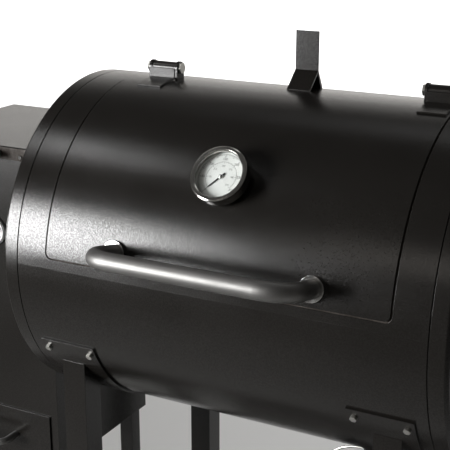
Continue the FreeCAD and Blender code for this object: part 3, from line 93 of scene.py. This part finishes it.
class Nodes:
    """A node tree, with one short call for each kind of node that materials and the room share."""

    def __init__(self, tree):
        self.tree = tree

    def add(self, kind, feeds=None, **settings):
        """A node with its settings; feeds are numbers or sockets, by the place of the input."""
        node = self.tree.nodes.new(kind)
        for name, setting in settings.items():
            setattr(node, name, setting)
        for place, given in (feeds or {}).items():
            self.feed(node.inputs[place], given)
        return node

    def feed(self, socket, given):
        if isinstance(given, bpy.types.NodeSocket):
            self.tree.links.new(given, socket)
        else:
            socket.default_value = given

    def maths(self, operation, *values):
        return self.add("ShaderNodeMath", dict(enumerate(values)), operation=operation).outputs[0]

    def vector(self, operation, *values):
        node = self.add("ShaderNodeVectorMath", dict(enumerate(values)), operation=operation)
        return node.outputs["Value" if operation in ("DOT_PRODUCT", "LENGTH") else "Vector"]

    def span(self, value, low, high, to_low=0.0, to_high=1.0, **settings):
        """The range from low to high, laid over the range from to_low to to_high."""
        feeds = {0: value, 1: low, 2: high, 3: to_low, 4: to_high}
        return self.add("ShaderNodeMapRange", feeds, **settings).outputs[0]

    def split(self, vector):
        return self.add("ShaderNodeSeparateXYZ", {0: vector}).outputs


class Paint(Nodes):
    """A procedural material: names of shader sockets are written with _ for each space."""

    def __init__(self, name, **sockets):
        self.material = bpy.data.materials.new(name)
        self.material.use_nodes = True
        super().__init__(self.material.node_tree)
        self.shader = self.tree.nodes["Principled BSDF"]
        self.at = self.add("ShaderNodeTexCoord").outputs["Object"]
        self.shade(**sockets)

    def shade(self, **sockets):
        for socket, given in sockets.items():
            self.feed(self.shader.inputs[socket.replace("_", " ")], given)
        return self

    def finished(self, colour, dull, relief, depth, strength, rounding):
        """The material, with its relief laid over edges of a small radius."""
        normal = self.bump(relief, depth, strength, self.rounded(rounding))
        return self.shade(Base_Color=colour, Roughness=dull, Normal=normal).material

    def stretched(self, x, y, z):
        return self.vector("MULTIPLY", self.at, (x, y, z))

    def noise(self, scale, detail, rough, at=None):
        feeds = {"Vector": at or self.at, "Scale": scale, "Detail": detail, "Roughness": rough}
        return self.add("ShaderNodeTexNoise", feeds).outputs[0]

    def cells(self, scale, output, feature="F1"):
        feeds = {"Vector": self.at, "Scale": scale}
        return self.add("ShaderNodeTexVoronoi", feeds, feature=feature).outputs[output]

    def mix(self, share, a, b):
        """From colour a to colour b: each is a socket, or red, green and blue."""
        a, b = (end if isinstance(end, bpy.types.NodeSocket) else (*end, 1) for end in (a, b))
        return self.add("ShaderNodeMix", {0: share, 6: a, 7: b}, data_type="RGBA").outputs[2]

    def rounded(self, radius):
        """A normal that lets sharp edges catch the light as a small radius does."""
        return self.add("ShaderNodeBevel", {"Radius": radius}, samples=4).outputs[0]

    def edges(self, radius):
        """1 along the edges and 0 on the flats, from how far the rounding turns the normal."""
        flat, sharp = 0.995, 0.8
        normal = self.add("ShaderNodeNewGeometry").outputs["Normal"]
        return self.span(self.vector("DOT_PRODUCT", self.rounded(radius), normal), flat, sharp)

    def bump(self, height, distance, strength, normal=None):
        feeds = {"Height": height, "Distance": distance, "Strength": strength}
        if normal is not None:
            feeds["Normal"] = normal
        return self.add("ShaderNodeBump", feeds).outputs[0]

    def near_axis(self, radius):
        """1 nearer to the barrel's axis than the radius, and 0 outside it, with a soft border."""
        border = 0.0004
        _, y, z = self.split(self.vector("SUBTRACT", self.at, tuple(barrel)))
        away = self.add("ShaderNodeCombineXYZ", {1: y, 2: z}).outputs[0]
        return self.span(self.vector("LENGTH", away), radius + border, radius - border)

    def within(self, low, high):
        """1 inside the box between two corners, and 0 outside it."""
        share = None
        for at, bottom, top in zip(self.split(self.at), low, high):
            for test, limit in (("GREATER_THAN", bottom), ("LESS_THAN", top)):
                passed = self.maths(test, at, limit)
                share = passed if share is None else self.maths("MULTIPLY", share, passed)
        return share


def black_coat(name, inside=None):
    """Black powder coat: orange peel, fine flecks, a painted highlight of lighter grey along its edges, and soot
    where the mask that inside makes is 1.
    """
    paint = Paint(name, IOR=1.40)
    fleck_cells, plain_share = 900, 0.80
    peel = paint.noise(620, 2.0, 0.6)
    pits = paint.noise(2100, 2.0, 0.6)
    haze = paint.noise(7, 4.0, 0.6)
    chosen = paint.maths("GREATER_THAN", paint.split(paint.cells(fleck_cells, "Color"))[0], plain_share)
    speck = paint.span(paint.cells(fleck_cells, "Distance"), 0.14, 0.05)
    fleck = paint.maths("MULTIPLY", speck, chosen)
    # Painted highlight: a lighter grey along the edges, in patches, standing in for edges that catch the light.
    edge = paint.maths("MULTIPLY", paint.edges(0.0010), paint.span(haze, 0.4, 0.7, 0.1, 0.5))
    colour = paint.mix(haze, (0.0068, 0.0061, 0.0054), (0.0112, 0.0101, 0.0089))
    colour = paint.mix(fleck, colour, (0.09, 0.085, 0.078))
    # Lays the painted edge highlight into the colour.
    colour = paint.mix(edge, colour, (0.05, 0.048, 0.045))
    gloss = paint.span(paint.noise(460, 1.0, 0.5), 0.36, 0.64, 0.42, 0.64)
    dull = paint.span(haze, 0.3, 0.7, 0.18, 0.23)
    dull = paint.maths("ADD", dull, paint.span(peel, 0.35, 0.65, -0.03, 0.03))
    normal = paint.bump(peel, 0.0005, 0.30, paint.rounded(0.0009))
    normal = paint.bump(pits, 0.00015, 0.25, normal)
    if inside is not None:
        soot = inside(paint)
        crust = paint.noise(60, 5.0, 0.65)
        drips = paint.noise(14, 4.0, 0.6, paint.stretched(3.0, 3.0, 0.6))
        soot_colour = paint.mix(drips, (0.006, 0.005, 0.004), (0.035, 0.024, 0.016))
        colour = paint.mix(soot, colour, soot_colour)
        soot_dull = paint.span(drips, 0.35, 0.65, 0.85, 0.5)
        dull = paint.add("ShaderNodeMix", {0: soot, 2: dull, 3: soot_dull}).outputs[0]
        normal = paint.bump(paint.maths("MULTIPLY", soot, crust), 0.0012, 0.7, normal)
    paint.shade(Base_Color=colour, Roughness=dull, Normal=normal, Specular_IOR_Level=gloss)
    return paint.material


def metal(name, light, dark, smooth, rough, grain, depth=0.00006, edge=0.0007):
    """Bare or plated metal: its finish varies in patches of 1/grain metres, and a painted highlight lightens its
    edges.
    """
    paint = Paint(name, Metallic=1.0)
    broad = paint.noise(grain, 4.0, 0.6)
    fine = paint.noise(grain * 22, 2.0, 0.6)
    # Painted highlight: a lighter colour that is laid along the edges.
    edge_highlight_colour = [min(1, c * 1.15) for c in light]
    colour = paint.mix(paint.span(broad, 0.3, 0.7), dark, light)
    colour = paint.mix(paint.maths("MULTIPLY", paint.edges(edge), 0.5), colour, edge_highlight_colour)
    dull = paint.span(broad, 0.3, 0.7, smooth, rough)
    dull = paint.maths("ADD", dull, paint.span(fine, 0.3, 0.7, -0.03, 0.03))
    return paint.finished(colour, dull, fine, depth=depth, strength=0.6, rounding=edge)


def brushed():
    """Stainless steel, brushed in fine lines along X."""
    paint = Paint("brushed_stainless", Metallic=1.0)
    along, across = 9, 1400
    lines = paint.noise(1.0, 3.0, 0.65, paint.stretched(along, across, across))
    broad = paint.noise(18, 3.0, 0.5)
    smudge = paint.noise(55, 4.0, 0.6)
    colour = paint.mix(lines, (0.15, 0.148, 0.143), (0.33, 0.326, 0.318))
    dull = paint.span(lines, 0.3, 0.7, 0.42, 0.56)
    dull = paint.maths("ADD", dull, paint.span(smudge, 0.4, 0.7, 0.0, 0.06))
    colour = paint.mix(paint.span(broad, 0.35, 0.75, 0.0, 0.25), colour, (0.25, 0.245, 0.24))
    return paint.finished(colour, dull, lines, depth=0.00012, strength=0.5, rounding=0.0006)


def turned_steel():
    """Stainless steel, brushed in rings round the dial's axis."""
    paint = Paint("brushed_rings", Metallic=1.0)
    away = paint.vector("SUBTRACT", paint.at, tuple(dial_centre))
    off_axis = paint.vector("LENGTH", paint.vector("CROSS_PRODUCT", away, tuple(dial_out)))
    rings = paint.noise(2600, 3.0, 0.6, paint.add("ShaderNodeCombineXYZ", {0: off_axis}).outputs[0])
    smudge = paint.noise(70, 4.0, 0.6)
    colour = paint.mix(rings, (0.44, 0.43, 0.41), (0.66, 0.65, 0.63))
    dull = paint.span(rings, 0.3, 0.7, 0.06, 0.13)
    dull = paint.maths("ADD", dull, paint.span(smudge, 0.4, 0.7, 0.0, 0.05))
    return paint.finished(colour, dull, rings, depth=0.00005, strength=0.4, rounding=0.0005)


def cast_iron():
    """Seasoned cast iron: sandy, dark, with an oily sheen in patches."""
    paint = Paint("cast_iron", Metallic=0.25)
    sand = paint.noise(700, 3.0, 0.7)
    patch = paint.noise(22, 5.0, 0.6)
    colour = paint.mix(paint.span(patch, 0.3, 0.7), (0.016, 0.014, 0.013), (0.045, 0.036, 0.030))
    dull = paint.span(patch, 0.3, 0.7, 0.42, 0.72)
    return paint.finished(colour, dull, sand, depth=0.0007, strength=0.55, rounding=0.0012)


def galvanised():
    """Hot-dip zinc: flat crystals, each with its own grey and gloss."""
    paint = Paint("galvanised", Metallic=0.9)
    crystals = 85
    crystal = paint.split(paint.cells(crystals, "Color"))[0]
    seam = paint.span(paint.cells(crystals, "Distance", "DISTANCE_TO_EDGE"), 0.0, 0.03)
    cloud = paint.noise(35, 4.0, 0.6)
    colour = paint.mix(crystal, (0.40, 0.415, 0.43), (0.62, 0.635, 0.65))
    colour = paint.mix(paint.span(cloud, 0.35, 0.75, 0.0, 0.45), colour, (0.36, 0.37, 0.37))
    dull = paint.span(crystal, 0.0, 1.0, 0.30, 0.52)
    dull = paint.maths("ADD", dull, paint.span(cloud, 0.3, 0.7, 0.0, 0.08))
    return paint.finished(colour, dull, seam, depth=0.0001, strength=0.3, rounding=0.0005)


def heated_steel(name, bright=False):
    """Steel that has been hot: straw and blue tints, and patches of brown scale."""
    paint = Paint(name, Metallic=0.95)
    heat = paint.noise(5, 3.0, 0.55)
    scale = paint.noise(130, 5.0, 0.65)
    straw = (0.58, 0.50, 0.38) if bright else (0.30, 0.24, 0.18)
    cold = (0.66, 0.66, 0.66) if bright else (0.27, 0.27, 0.28)
    blue = (0.38, 0.40, 0.48) if bright else (0.14, 0.15, 0.20)
    colour = paint.mix(paint.span(heat, 0.38, 0.52), cold, straw)
    colour = paint.mix(paint.span(heat, 0.52, 0.68), colour, blue)
    colour = paint.mix(paint.span(scale, 0.58, 0.75, 0.0, 0.6), colour, (0.10, 0.07, 0.05))
    dull = paint.span(scale, 0.3, 0.7, *((0.18, 0.34) if bright else (0.38, 0.62)))
    return paint.finished(colour, dull, scale, depth=0.0002, strength=0.4, rounding=0.0008)


def rubber(name, shade, dust):
    """Moulded rubber with dust on it: shade and dust are how light each is."""
    paint = Paint(name, IOR=1.45)
    grain = paint.noise(900, 3.0, 0.6)
    cloud = paint.noise(26, 4.0, 0.6)
    clean, dusty = (shade, shade, shade * 1.02), (dust, dust * 0.94, dust * 0.86)
    colour = paint.mix(paint.span(cloud, 0.42, 0.72, 0.0, 0.35), clean, dusty)
    dull = paint.span(cloud, 0.3, 0.7, 0.58, 0.82)
    return paint.finished(colour, dull, grain, depth=0.0003, strength=0.35, rounding=0.0008)


def dial_paper():
    """Printed white dial: paint on a pressed disc."""
    paint = Paint("dial_white", Roughness=0.5)
    fibre = paint.noise(900, 3.0, 0.6)
    cloud = paint.noise(40, 3.0, 0.6)
    colour = paint.mix(cloud, (0.80, 0.80, 0.79), (0.90, 0.895, 0.88))
    dull = paint.span(fibre, 0.3, 0.7, 0.38, 0.52)
    return paint.shade(Base_Color=colour, Roughness=dull, Normal=paint.bump(fibre, 0.00004, 0.5)).material


def ink(name, shade):
    """Printing ink or needle paint, a little uneven."""
    paint = Paint(name)
    fine = paint.noise(1500, 2.0, 0.6)
    colour = paint.mix(fine, [c * 0.7 for c in shade], [c * 1.4 for c in shade])
    return paint.shade(Base_Color=colour, Roughness=paint.span(fine, 0.3, 0.7, 0.35, 0.55),
                       Normal=paint.bump(fine, 0.00003, 0.5)).material


def clear_glass():
    """Flat glass: clear face on, mirror-like at a slant, with a trace of smudge."""
    paint = Paint("dial_glass")
    tree = paint.tree
    smudge = paint.noise(90, 4.0, 0.6)
    gloss = paint.add("ShaderNodeBsdfGlossy", {"Roughness": paint.span(smudge, 0.4, 0.7, 0.02, 0.08)})
    clear = paint.add("ShaderNodeBsdfTransparent", {"Color": (0.97, 0.98, 0.975, 1)})
    facing = paint.add("ShaderNodeLayerWeight", {"Blend": 0.5}).outputs["Facing"]
    share = paint.span(paint.maths("POWER", facing, 4.0), 0.0, 1.0, 0.04, 0.7)
    both = paint.add("ShaderNodeMixShader", {0: share, 1: clear.outputs[0], 2: gloss.outputs[0]})
    tree.links.new(both.outputs[0], tree.nodes["Material Output"].inputs[0])
    tree.nodes.remove(paint.shader)
    return paint.material


# Soot lies inside the barrel and the firebox: each mask begins within the sheet of its own piece.
# The firebox's mask runs on upwards, and its lid's mask downwards, where each of them is open.
BARREL_SKIN, LID_SKIN = 0.0013, 0.0010
BOX_SKIN = Vector((0.0012, 0.0012, 0.0012))
box_low, box_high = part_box("firebox_shell")
top_low, top_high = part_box("firebox_lid")


def chamber_soot(paint):
    return paint.near_axis(barrel_radius - BARREL_SKIN)


def lid_soot(paint):
    return paint.near_axis(barrel_radius - LID_SKIN)


def fire_soot(paint):
    return paint.within(box_low + BOX_SKIN, box_high - BOX_SKIN + Z)


def top_soot(paint):
    return paint.within(top_low + BOX_SKIN - Z, top_high - BOX_SKIN)


finish = {
    "black_coat": black_coat("black_coat"),
    "zinc_steel": metal("zinc_steel", light=(0.62, 0.61, 0.57), dark=(0.45, 0.45, 0.43),
                        smooth=0.26, rough=0.40, grain=60),
    "brushed_stainless": brushed(),
    "polished_trim": metal("polished_trim", light=(0.78, 0.775, 0.76), dark=(0.66, 0.655, 0.64),
                           smooth=0.09, rough=0.17, grain=80, depth=0.00003, edge=0.0012),
    "cast_alloy": metal("cast_alloy", light=(0.66, 0.66, 0.65), dark=(0.42, 0.42, 0.42),
                        smooth=0.30, rough=0.48, grain=45, depth=0.0004, edge=0.0014),
    "cast_iron": cast_iron(),
    "chromed_rack": heated_steel("chromed_rack", bright=True),
    "raw_steel": heated_steel("raw_steel"),
    "galvanised": galvanised(),
    "dial_white": dial_paper(),
    "dial_glass": clear_glass(),
    "needle_paint": ink("needle_paint", (0.012, 0.012, 0.014)),
    "wheel_paint": black_coat("wheel_paint"),
    "tyre_rubber": rubber("tyre_rubber", shade=0.014, dust=0.11),
    "caster_rubber": rubber("caster_rubber", shade=0.028, dust=0.12),
}
special = {
    "upper_shell": black_coat("black_coat_chamber", chamber_soot),
    "lid": black_coat("black_coat_lid", lid_soot),
    "firebox_shell": black_coat("black_coat_fire", fire_soot),
    "firebox_lid": black_coat("black_coat_top", top_soot),
    "dial_case": turned_steel(),
}
special["lower_shell"] = special["ledges"] = special["upper_shell"]
for name, node in nodes.items():
    node.data.materials.clear()
    node.data.materials.append(special.get(name, finish[slots[name]]))


# Pieces that Blender adds

def place(name, data):
    """An object of the scene that holds the data."""
    made = bpy.data.objects.new(name, data)
    bpy.context.scene.collection.objects.link(made)
    return made


def solid(name, points, faces, slot, body, smooth=True, material=None):
    """A mesh piece that rides on a body, in a finish of the record's."""
    mesh = bpy.data.meshes.new(name)
    mesh.from_pydata([tuple(p) for p in points], [], faces)
    mesh.update()
    mesh.polygons.foreach_set("use_smooth", [smooth] * len(mesh.polygons))
    mesh.materials.append(material or finish[slot])
    piece = place(name, mesh)
    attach(piece, body)
    return piece


def band(rings, count, closed=False, flipped=False):
    """The faces between rings of count points each; a closed band runs from the last ring to the first."""
    faces = []
    for ring in range(rings if closed else rings - 1):
        a, b = ring * count, (ring + 1) % rings * count
        for s in range(count):
            t = (s + 1) % count
            faces.append((a + s, b + s, b + t, a + t) if flipped else (a + s, a + t, b + t, b + s))
    return faces


def end_cap(rings, count):
    """The face that closes the last ring."""
    return tuple((rings - 1) * count + s for s in range(count))


def bead(path, radius, closed):
    """Points and faces of a weld bead along a path: a half-sunk tube with the ripples of its run."""
    ripple, sides = 0.0042, 8
    path = [Vector(p) for p in path]
    lengths = [0.0]
    for a, b in zip(path, path[1:] + path[:1]):
        lengths.append(lengths[-1] + (b - a).length)
    whole = lengths[-1] if closed else lengths[-2]
    count = max(8, int(whole / (ripple / 4)))
    points = []
    ways = path + path[:1]
    for i in range(count + (0 if closed else 1)):
        at = whole * i / count
        k = min(max(j for j in range(len(lengths)) if lengths[j] <= at + 1e-9), len(ways) - 2)
        run = lengths[k + 1] - lengths[k]
        a, b = ways[k], ways[k + 1]
        centre = a.lerp(b, (at - lengths[k]) / run if run > 1e-9 else 0.0)
        along = (b - a).normalized()
        side = along.orthogonal().normalized()
        other = along.cross(side)
        wave = 0.80 + 0.16 * abs(math.sin(math.pi * at / ripple)) + 0.10 * noise.noise(centre * 300)
        if not closed:
            wave *= min(1.0, 0.35 + min(i, count - i) / 3)
        for s in range(sides):
            turn = 2 * math.pi * s / sides
            points.append(centre + (side * math.cos(turn) + other * math.sin(turn)) * radius * wave)
    rings = count if closed else count + 1
    faces = band(rings, sides, closed)
    if not closed:
        faces += [tuple(range(sides))[::-1], end_cap(rings, sides)]
    return points, faces


def welds(name, paths, body, radius=0.0024, closed=True):
    """One piece of all the weld beads along the paths."""
    points, faces = [], []
    for path in paths:
        more, corners = bead(path, radius, closed)
        faces += [tuple(c + len(points) for c in face) for face in corners]
        points += more
    solid(name, points, faces, "black_coat", body)


def square(low, high, z):
    """The outline of a box at a height."""
    return [(low.x, low.y, z), (high.x, low.y, z), (high.x, high.y, z), (low.x, high.y, z)]


def on_barrel(x, y):
    """The point below (x, y) on the barrel's underside."""
    return Vector((x, y, barrel.z - math.sqrt(barrel_radius ** 2 - (y - barrel.y) ** 2)))


# Each leg is welded to the barrel along a saddle and to the wheeled frame round its foot.
saddles, feet = [], []
for leg in ("front_left_leg", "front_right_leg", "rear_left_leg", "rear_right_leg"):
    low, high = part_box(leg)
    pieces = 8
    rows = [low.y + (high.y - low.y) * i / pieces for i in range(pieces + 1)]
    edge = [(low.x, y) for y in rows] + [(high.x, y) for y in reversed(rows)]
    saddles.append([on_barrel(x, y) for x, y in edge])
    feet.append(square(low, high, low.z))
welds("leg_welds", saddles + feet, "frame")


def posts(node):
    """The box of each separate part of a node's mesh, as (low, high), in the order of their places."""
    bm = bmesh.new()
    bm.from_mesh(nodes[node].data)
    bmesh.ops.remove_doubles(bm, verts=bm.verts, dist=1e-6)
    left, found = set(bm.verts), []
    while left:
        group, edge = set(), [left.pop()]
        while edge:
            vert = edge.pop()
            group.add(vert)
            for link in vert.link_edges:
                other = link.other_vert(vert)
                if other in left:
                    left.discard(other)
                    edge.append(other)
        co = np.array([v.co for v in group])
        found.append((Vector(co.min(0)), Vector(co.max(0))))
    bm.free()
    return sorted(found, key=lambda box: tuple(box[0]))


stand = []
for low, high in posts("firebox_stand"):
    stand += [square(low, high, low.z), square(low, high, high.z)]
welds("stand_welds", stand, "frame", 0.002)


def circle(centre, a, b, radius_a, radius_b=None, steps=72):
    """Points round a circle or ellipse that lies across the directions a and b."""
    radius_b = radius_b or radius_a
    turns = [2 * math.pi * i / steps for i in range(steps)]
    return [centre + a * math.cos(t) * radius_a + b * math.sin(t) * radius_b for t in turns]


drain_low, drain_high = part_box("drain_spout")
spout = Vector(((drain_low.x + drain_high.x) / 2, barrel.y, drain_high.z))
spout_path = circle(spout, X, Y, (drain_high.x - drain_low.x) / 2)
welds("spout_weld", [[on_barrel(p.x, p.y) for p in spout_path]], "frame", 0.0018)

ears, short = [], 0.001
for low, high in posts("hinge_ears"):
    for y in (low.y, high.y):
        seat = barrel.z + math.sqrt(barrel_radius ** 2 - (y - barrel.y) ** 2)
        ears.append([(low.x + short, y, seat), (high.x - short, y, seat)])
welds("ear_welds", ears, "frame", 0.0018, closed=False)


def plate_rim():
    """A raised rim and a hammered middle for the blank cast plate."""
    low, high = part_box("blank_plate")
    centre = (low + high) / 2
    centre.y = low.y
    wide, tall = (high.x - low.x) / 2, (high.z - low.z) / 2
    points, steps = [], 96
    field, field_rows = 0.88, 14
    lift, hammer = 0.0002, 0.0004
    rows = [(0.985, 0.0), (0.975, 0.0012), (0.94, 0.0016), (0.90, 0.0012), (field, 0.0002)]
    rows += [(field - field * k / field_rows, 0.0003) for k in range(1, field_rows)]
    for share, proud in rows:
        for p in circle(centre, X, Z, wide * share, tall * share, steps):
            dent = hammer * noise.noise(p * 130) if share < field else 0.0
            points.append(p - Y * (proud + dent + lift))
    faces = band(len(rows), steps, flipped=True) + [end_cap(len(rows), steps)]
    solid("plate_rim", points, faces, "cast_alloy", "frame")


plate_rim()


def tyre(node, body):
    """The tyre with shoulders, side rings and a cut tread, inside its CAD node's size."""
    low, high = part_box(node)
    centre = (low + high) / 2
    outer, half = (high.z - low.z) / 2, (high.y - low.y) / 2
    rim = outer - 0.016
    # Half of the section, from the rim: side ring, shoulder, tread, and a groove beside the middle rib.
    profile = [(rim, -half), (rim + 0.002, -half), (rim + 0.0035, -half + 0.0008), (rim + 0.005, -half)]
    profile += [(rim + 0.007, -half + 0.0006), (outer - 0.0055, -half + 0.0022)]
    profile += [(outer - 0.0022, -half + 0.0062), (outer - 0.0006, -half + 0.010)]
    profile += [(outer - 0.0002, -0.0066), (outer, -0.0052)]
    profile += [(outer - 0.0022, -0.0044), (outer - 0.0022, -0.0026), (outer, -0.0018)]
    profile += [(r, -y) for r, y in reversed(profile)]
    steps, pitch, block = 216, 6, 4
    cut_depth, cut_from, tread_depth = 0.0024, 0.0045, 0.004
    points = []
    for i in range(steps):
        turn = 2 * math.pi * i / steps
        for radius, y in profile:
            if i % pitch >= block and abs(y) > cut_from and radius > outer - tread_depth:
                radius -= cut_depth
            skew = turn + math.copysign(0.05, y) * max(0.0, abs(y) / half - 0.2)
            points.append(centre + Vector((radius * math.cos(skew), y, radius * math.sin(skew))))
    faces = band(steps, len(profile), closed=True, flipped=True)
    made = solid(node + "_tread", points, faces, "tyre_rubber", body)
    made.modifiers.new("edges", "EDGE_SPLIT").split_angle = math.radians(38)
    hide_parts(node)


tyre("front_tyre", "front_wheel")
tyre("rear_tyre", "rear_wheel")


# The dial's print: ticks and generic numbers round the sweep of the needle.
PRINT_RISE = 0.00015
face = np.array([v.co for v in nodes["dial_face"].data.vertices]) - np.array(dial_centre)
face_rise = float((face @ np.array(dial_out)).max()) + PRINT_RISE
face_radius = float(np.abs(face @ np.array(dial_right)).max())
tip = max((v.co - dial_centre for v in nodes["dial_needle"].data.vertices), key=lambda p: p.length)
rest_turn = math.atan2(tip.dot(dial_up), tip.dot(dial_right))
sweep = math.radians(needle["range_deg"][1])


def on_face(turn, radius):
    """A point just above the dial face, by its angle from the right side and its radius."""
    return (dial_centre + dial_right * math.cos(turn) * radius + dial_up * math.sin(turn) * radius
            + dial_out * face_rise)


def dial_print():
    """Two scales with their ticks, and a row of numbers for each."""
    points, faces = [], []
    scale_outer, scale_inner = face_radius * 0.90, face_radius * 0.60
    outer_marks, inner_marks, numbers = 60, 30, 7
    line = 0.0003

    def quad(*corners):
        start = len(points)
        points.extend(corners)
        faces.append((start, start + 1, start + 2, start + 3))

    def bar(turn, inner, outer, wide):
        across = -dial_right * math.sin(turn) + dial_up * math.cos(turn)
        sides = ((inner, -1), (outer, -1), (outer, 1), (inner, 1))
        quad(*[on_face(turn, radius) + across * side * wide / 2 for radius, side in sides])

    for i in range(outer_marks + 1):
        turn = rest_turn - sweep * i / outer_marks
        long = 0.0042 if i % 10 == 0 else 0.0030 if i % 5 == 0 else 0.0018
        bar(turn, scale_outer - long, scale_outer, 0.00055 if i % 5 == 0 else 0.00032)
    for i in range(outer_marks * 2):
        for radius in (scale_outer, scale_inner):
            a, b = (rest_turn - sweep * k / outer_marks / 2 for k in (i, i + 1))
            quad(on_face(a, radius), on_face(b, radius), on_face(b, radius + line), on_face(a, radius + line))
    for i in range(inner_marks + 1):
        turn = rest_turn - sweep * i / inner_marks
        bar(turn, scale_inner - (0.0022 if i % 5 == 0 else 0.0012), scale_inner, line)
    turned = Matrix((dial_right, dial_up, dial_out)).transposed()
    for i in range(numbers):
        for radius, size, number in ((0.715, 0.0047, 50 * i), (0.44, 0.0032, 90 * i + 32)):
            text = bpy.data.curves.new("number", "FONT")
            text.body = str(number)
            text.size = size
            text.align_x = text.align_y = "CENTER"
            text.resolution_u = 3
            holder = bpy.data.objects.new("number", text)
            mesh = bpy.data.meshes.new_from_object(holder)
            centre = on_face(rest_turn - sweep * i / (numbers - 1), face_radius * radius)
            start = len(points)
            points.extend(centre + turned @ v.co for v in mesh.vertices)
            faces.extend(tuple(start + v for v in p.vertices) for p in mesh.polygons)
            bpy.data.objects.remove(holder)
    printed = ink("dial_ink", (0.03, 0.025, 0.024))
    solid("dial_print", points, faces, "needle_paint", "lid", smooth=False, material=printed)


dial_print()


def cap_hub():
    """A domed cap on the needle's pivot."""
    points, steps, sunk = [], 32, 0.0003
    rows = [(0.0032, 0.0), (0.0031, 0.0007), (0.0025, 0.0013), (0.0013, 0.0017)]
    top = max((v.co - dial_centre).dot(dial_out) for v in nodes["dial_needle"].data.vertices)
    for radius, rise in rows:
        centre = dial_centre + dial_out * (top - sunk + rise)
        points += circle(centre, dial_right, dial_up, radius, steps=steps)
    faces = band(len(rows), steps) + [end_cap(len(rows), steps)]
    solid("needle_cap", points, faces, "polished_trim", "needle")


cap_hub()


# Floor, light and camera

def floor():
    """A pale studio floor with a faint unevenness."""
    paint = Paint("floor", Roughness=0.8)
    cloud = paint.noise(0.8, 4.0, 0.6)
    grain = paint.noise(120, 3.0, 0.6)
    colour = paint.mix(cloud, (0.86, 0.86, 0.855), (0.90, 0.90, 0.895))
    paint.shade(Base_Color=colour, Roughness=paint.span(grain, 0.3, 0.7, 0.65, 0.85))
    reach, below_wheels = 60.0, 0.0005
    mesh = bpy.data.meshes.new("floor")
    mesh.from_pydata(square(Vector((-reach, -reach)), Vector((reach, reach)), 0), [], [(0, 1, 2, 3)])
    mesh.materials.append(paint.material)
    made = place("floor", mesh)
    made.location.z = -below_wheels
    made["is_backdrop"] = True


floor()


def softbox(name, at, towards, wide, tall, radiance, colour=(1, 1, 1), spread=180):
    """A rectangular lamp at one place that faces another, set by how bright its face is.

    A narrower spread, in degrees, brings the same power into a tighter beam.
    """
    lamp = bpy.data.lights.new(name, "AREA")
    lamp.shape = "RECTANGLE"
    lamp.size, lamp.size_y = wide, tall
    lamp.energy = radiance * math.pi * wide * tall
    lamp.color = colour
    lamp.spread = math.radians(spread)
    holder = place(name, lamp)
    holder.location = at
    holder.rotation_mode = "QUATERNION"
    holder.rotation_quaternion = (Vector(towards) - Vector(at)).to_track_quat("-Z", "Y")


def toward(azimuth, elevation):
    """A direction, with azimuth from the front (-Y) towards +X."""
    turn, rise = math.radians(azimuth), math.radians(elevation)
    return Vector((math.sin(turn) * math.cos(rise), -math.cos(turn) * math.cos(rise), math.sin(rise)))


def around(name, aim, azimuth, elevation, distance, **lamp):
    """A softbox in a direction from a place near the barrel."""
    aim = barrel + Vector(aim)
    softbox(name, aim + toward(azimuth, elevation) * distance, aim, **lamp)


around("key", (-0.15, -0.24, 0.05), azimuth=-42, elevation=6.5, distance=2.5,
       wide=1.05, tall=1.2, radiance=3.5, spread=54)
around("kicker", (-0.20, -0.18, 0.17), azimuth=-66, elevation=50, distance=2.2,
       wide=0.55, tall=0.35, radiance=7.0)
around("fill", (0.24, -0.22, 0.10), azimuth=-17, elevation=27, distance=2.5,
       wide=0.7, tall=0.5, radiance=1.6, colour=(1.0, 0.93, 0.86))
# Two lamps overhead that brighten the floor behind the smoker, the second one nearer to it.
softbox("floor_wash", (-3.4, 8.0, 5.0), (-3.4, 8.0, 0.0), wide=9.0, tall=8.0, radiance=2.4, spread=80)
softbox("near_wash", (-0.6, 3.4, 4.2), (-0.6, 3.4, 0.0), wide=6.0, tall=4.0, radiance=0.5, spread=80)


def studio():
    """The room: a bright wall behind, low down, and dark above and in front.

    The camera itself sees it pale all round.
    """
    wall_light, room_light = 1.15, 0.07
    world = bpy.data.worlds.new("studio")
    world.use_nodes = True
    bpy.context.scene.world = world
    world.node_tree.nodes.clear()
    sky = Nodes(world.node_tree)
    _, back, up = sky.split(sky.add("ShaderNodeTexCoord").outputs["Generated"])
    behind = sky.span(back, 0.35, 0.95, 0.0, 1.0, interpolation_type="SMOOTHSTEP")
    low_down = sky.span(up, 0.42, 0.72, 1.0, 0.06, interpolation_type="SMOOTHSTEP")
    wall = sky.maths("MULTIPLY", behind, low_down)
    bright = sky.maths("MULTIPLY_ADD", wall, wall_light, room_light)
    room = sky.add("ShaderNodeBackground", {0: (1.0, 0.97, 0.93, 1), 1: bright})
    seen = sky.add("ShaderNodeBackground", {0: (0.95, 0.95, 0.95, 1), 1: 1.0})
    eye = sky.add("ShaderNodeLightPath").outputs["Is Camera Ray"]
    both = sky.add("ShaderNodeMixShader", {0: eye, 1: room.outputs[0], 2: seen.outputs[0]})
    sky.add("ShaderNodeOutputWorld", {0: both.outputs[0]})


studio()

# The camera stands off the barrel's centre, turned to its right and tipped down, in degrees.
FROM_BARREL = Vector((0.65966, -1.41309, 0.52697))
TO_THE_RIGHT, DOWN = 28.3, 17.2
LENS, SENSOR = 89.0, 36
camera = place("camera", bpy.data.cameras.new("camera"))
camera.data.sensor_width = SENSOR
camera.data.lens = LENS
camera.location = barrel + FROM_BARREL
camera.rotation_euler = (math.radians(90 - DOWN), 0, math.radians(TO_THE_RIGHT))
bpy.context.scene.camera = camera
bpy.context.scene.view_settings.view_transform = "Standard"

low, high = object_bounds()
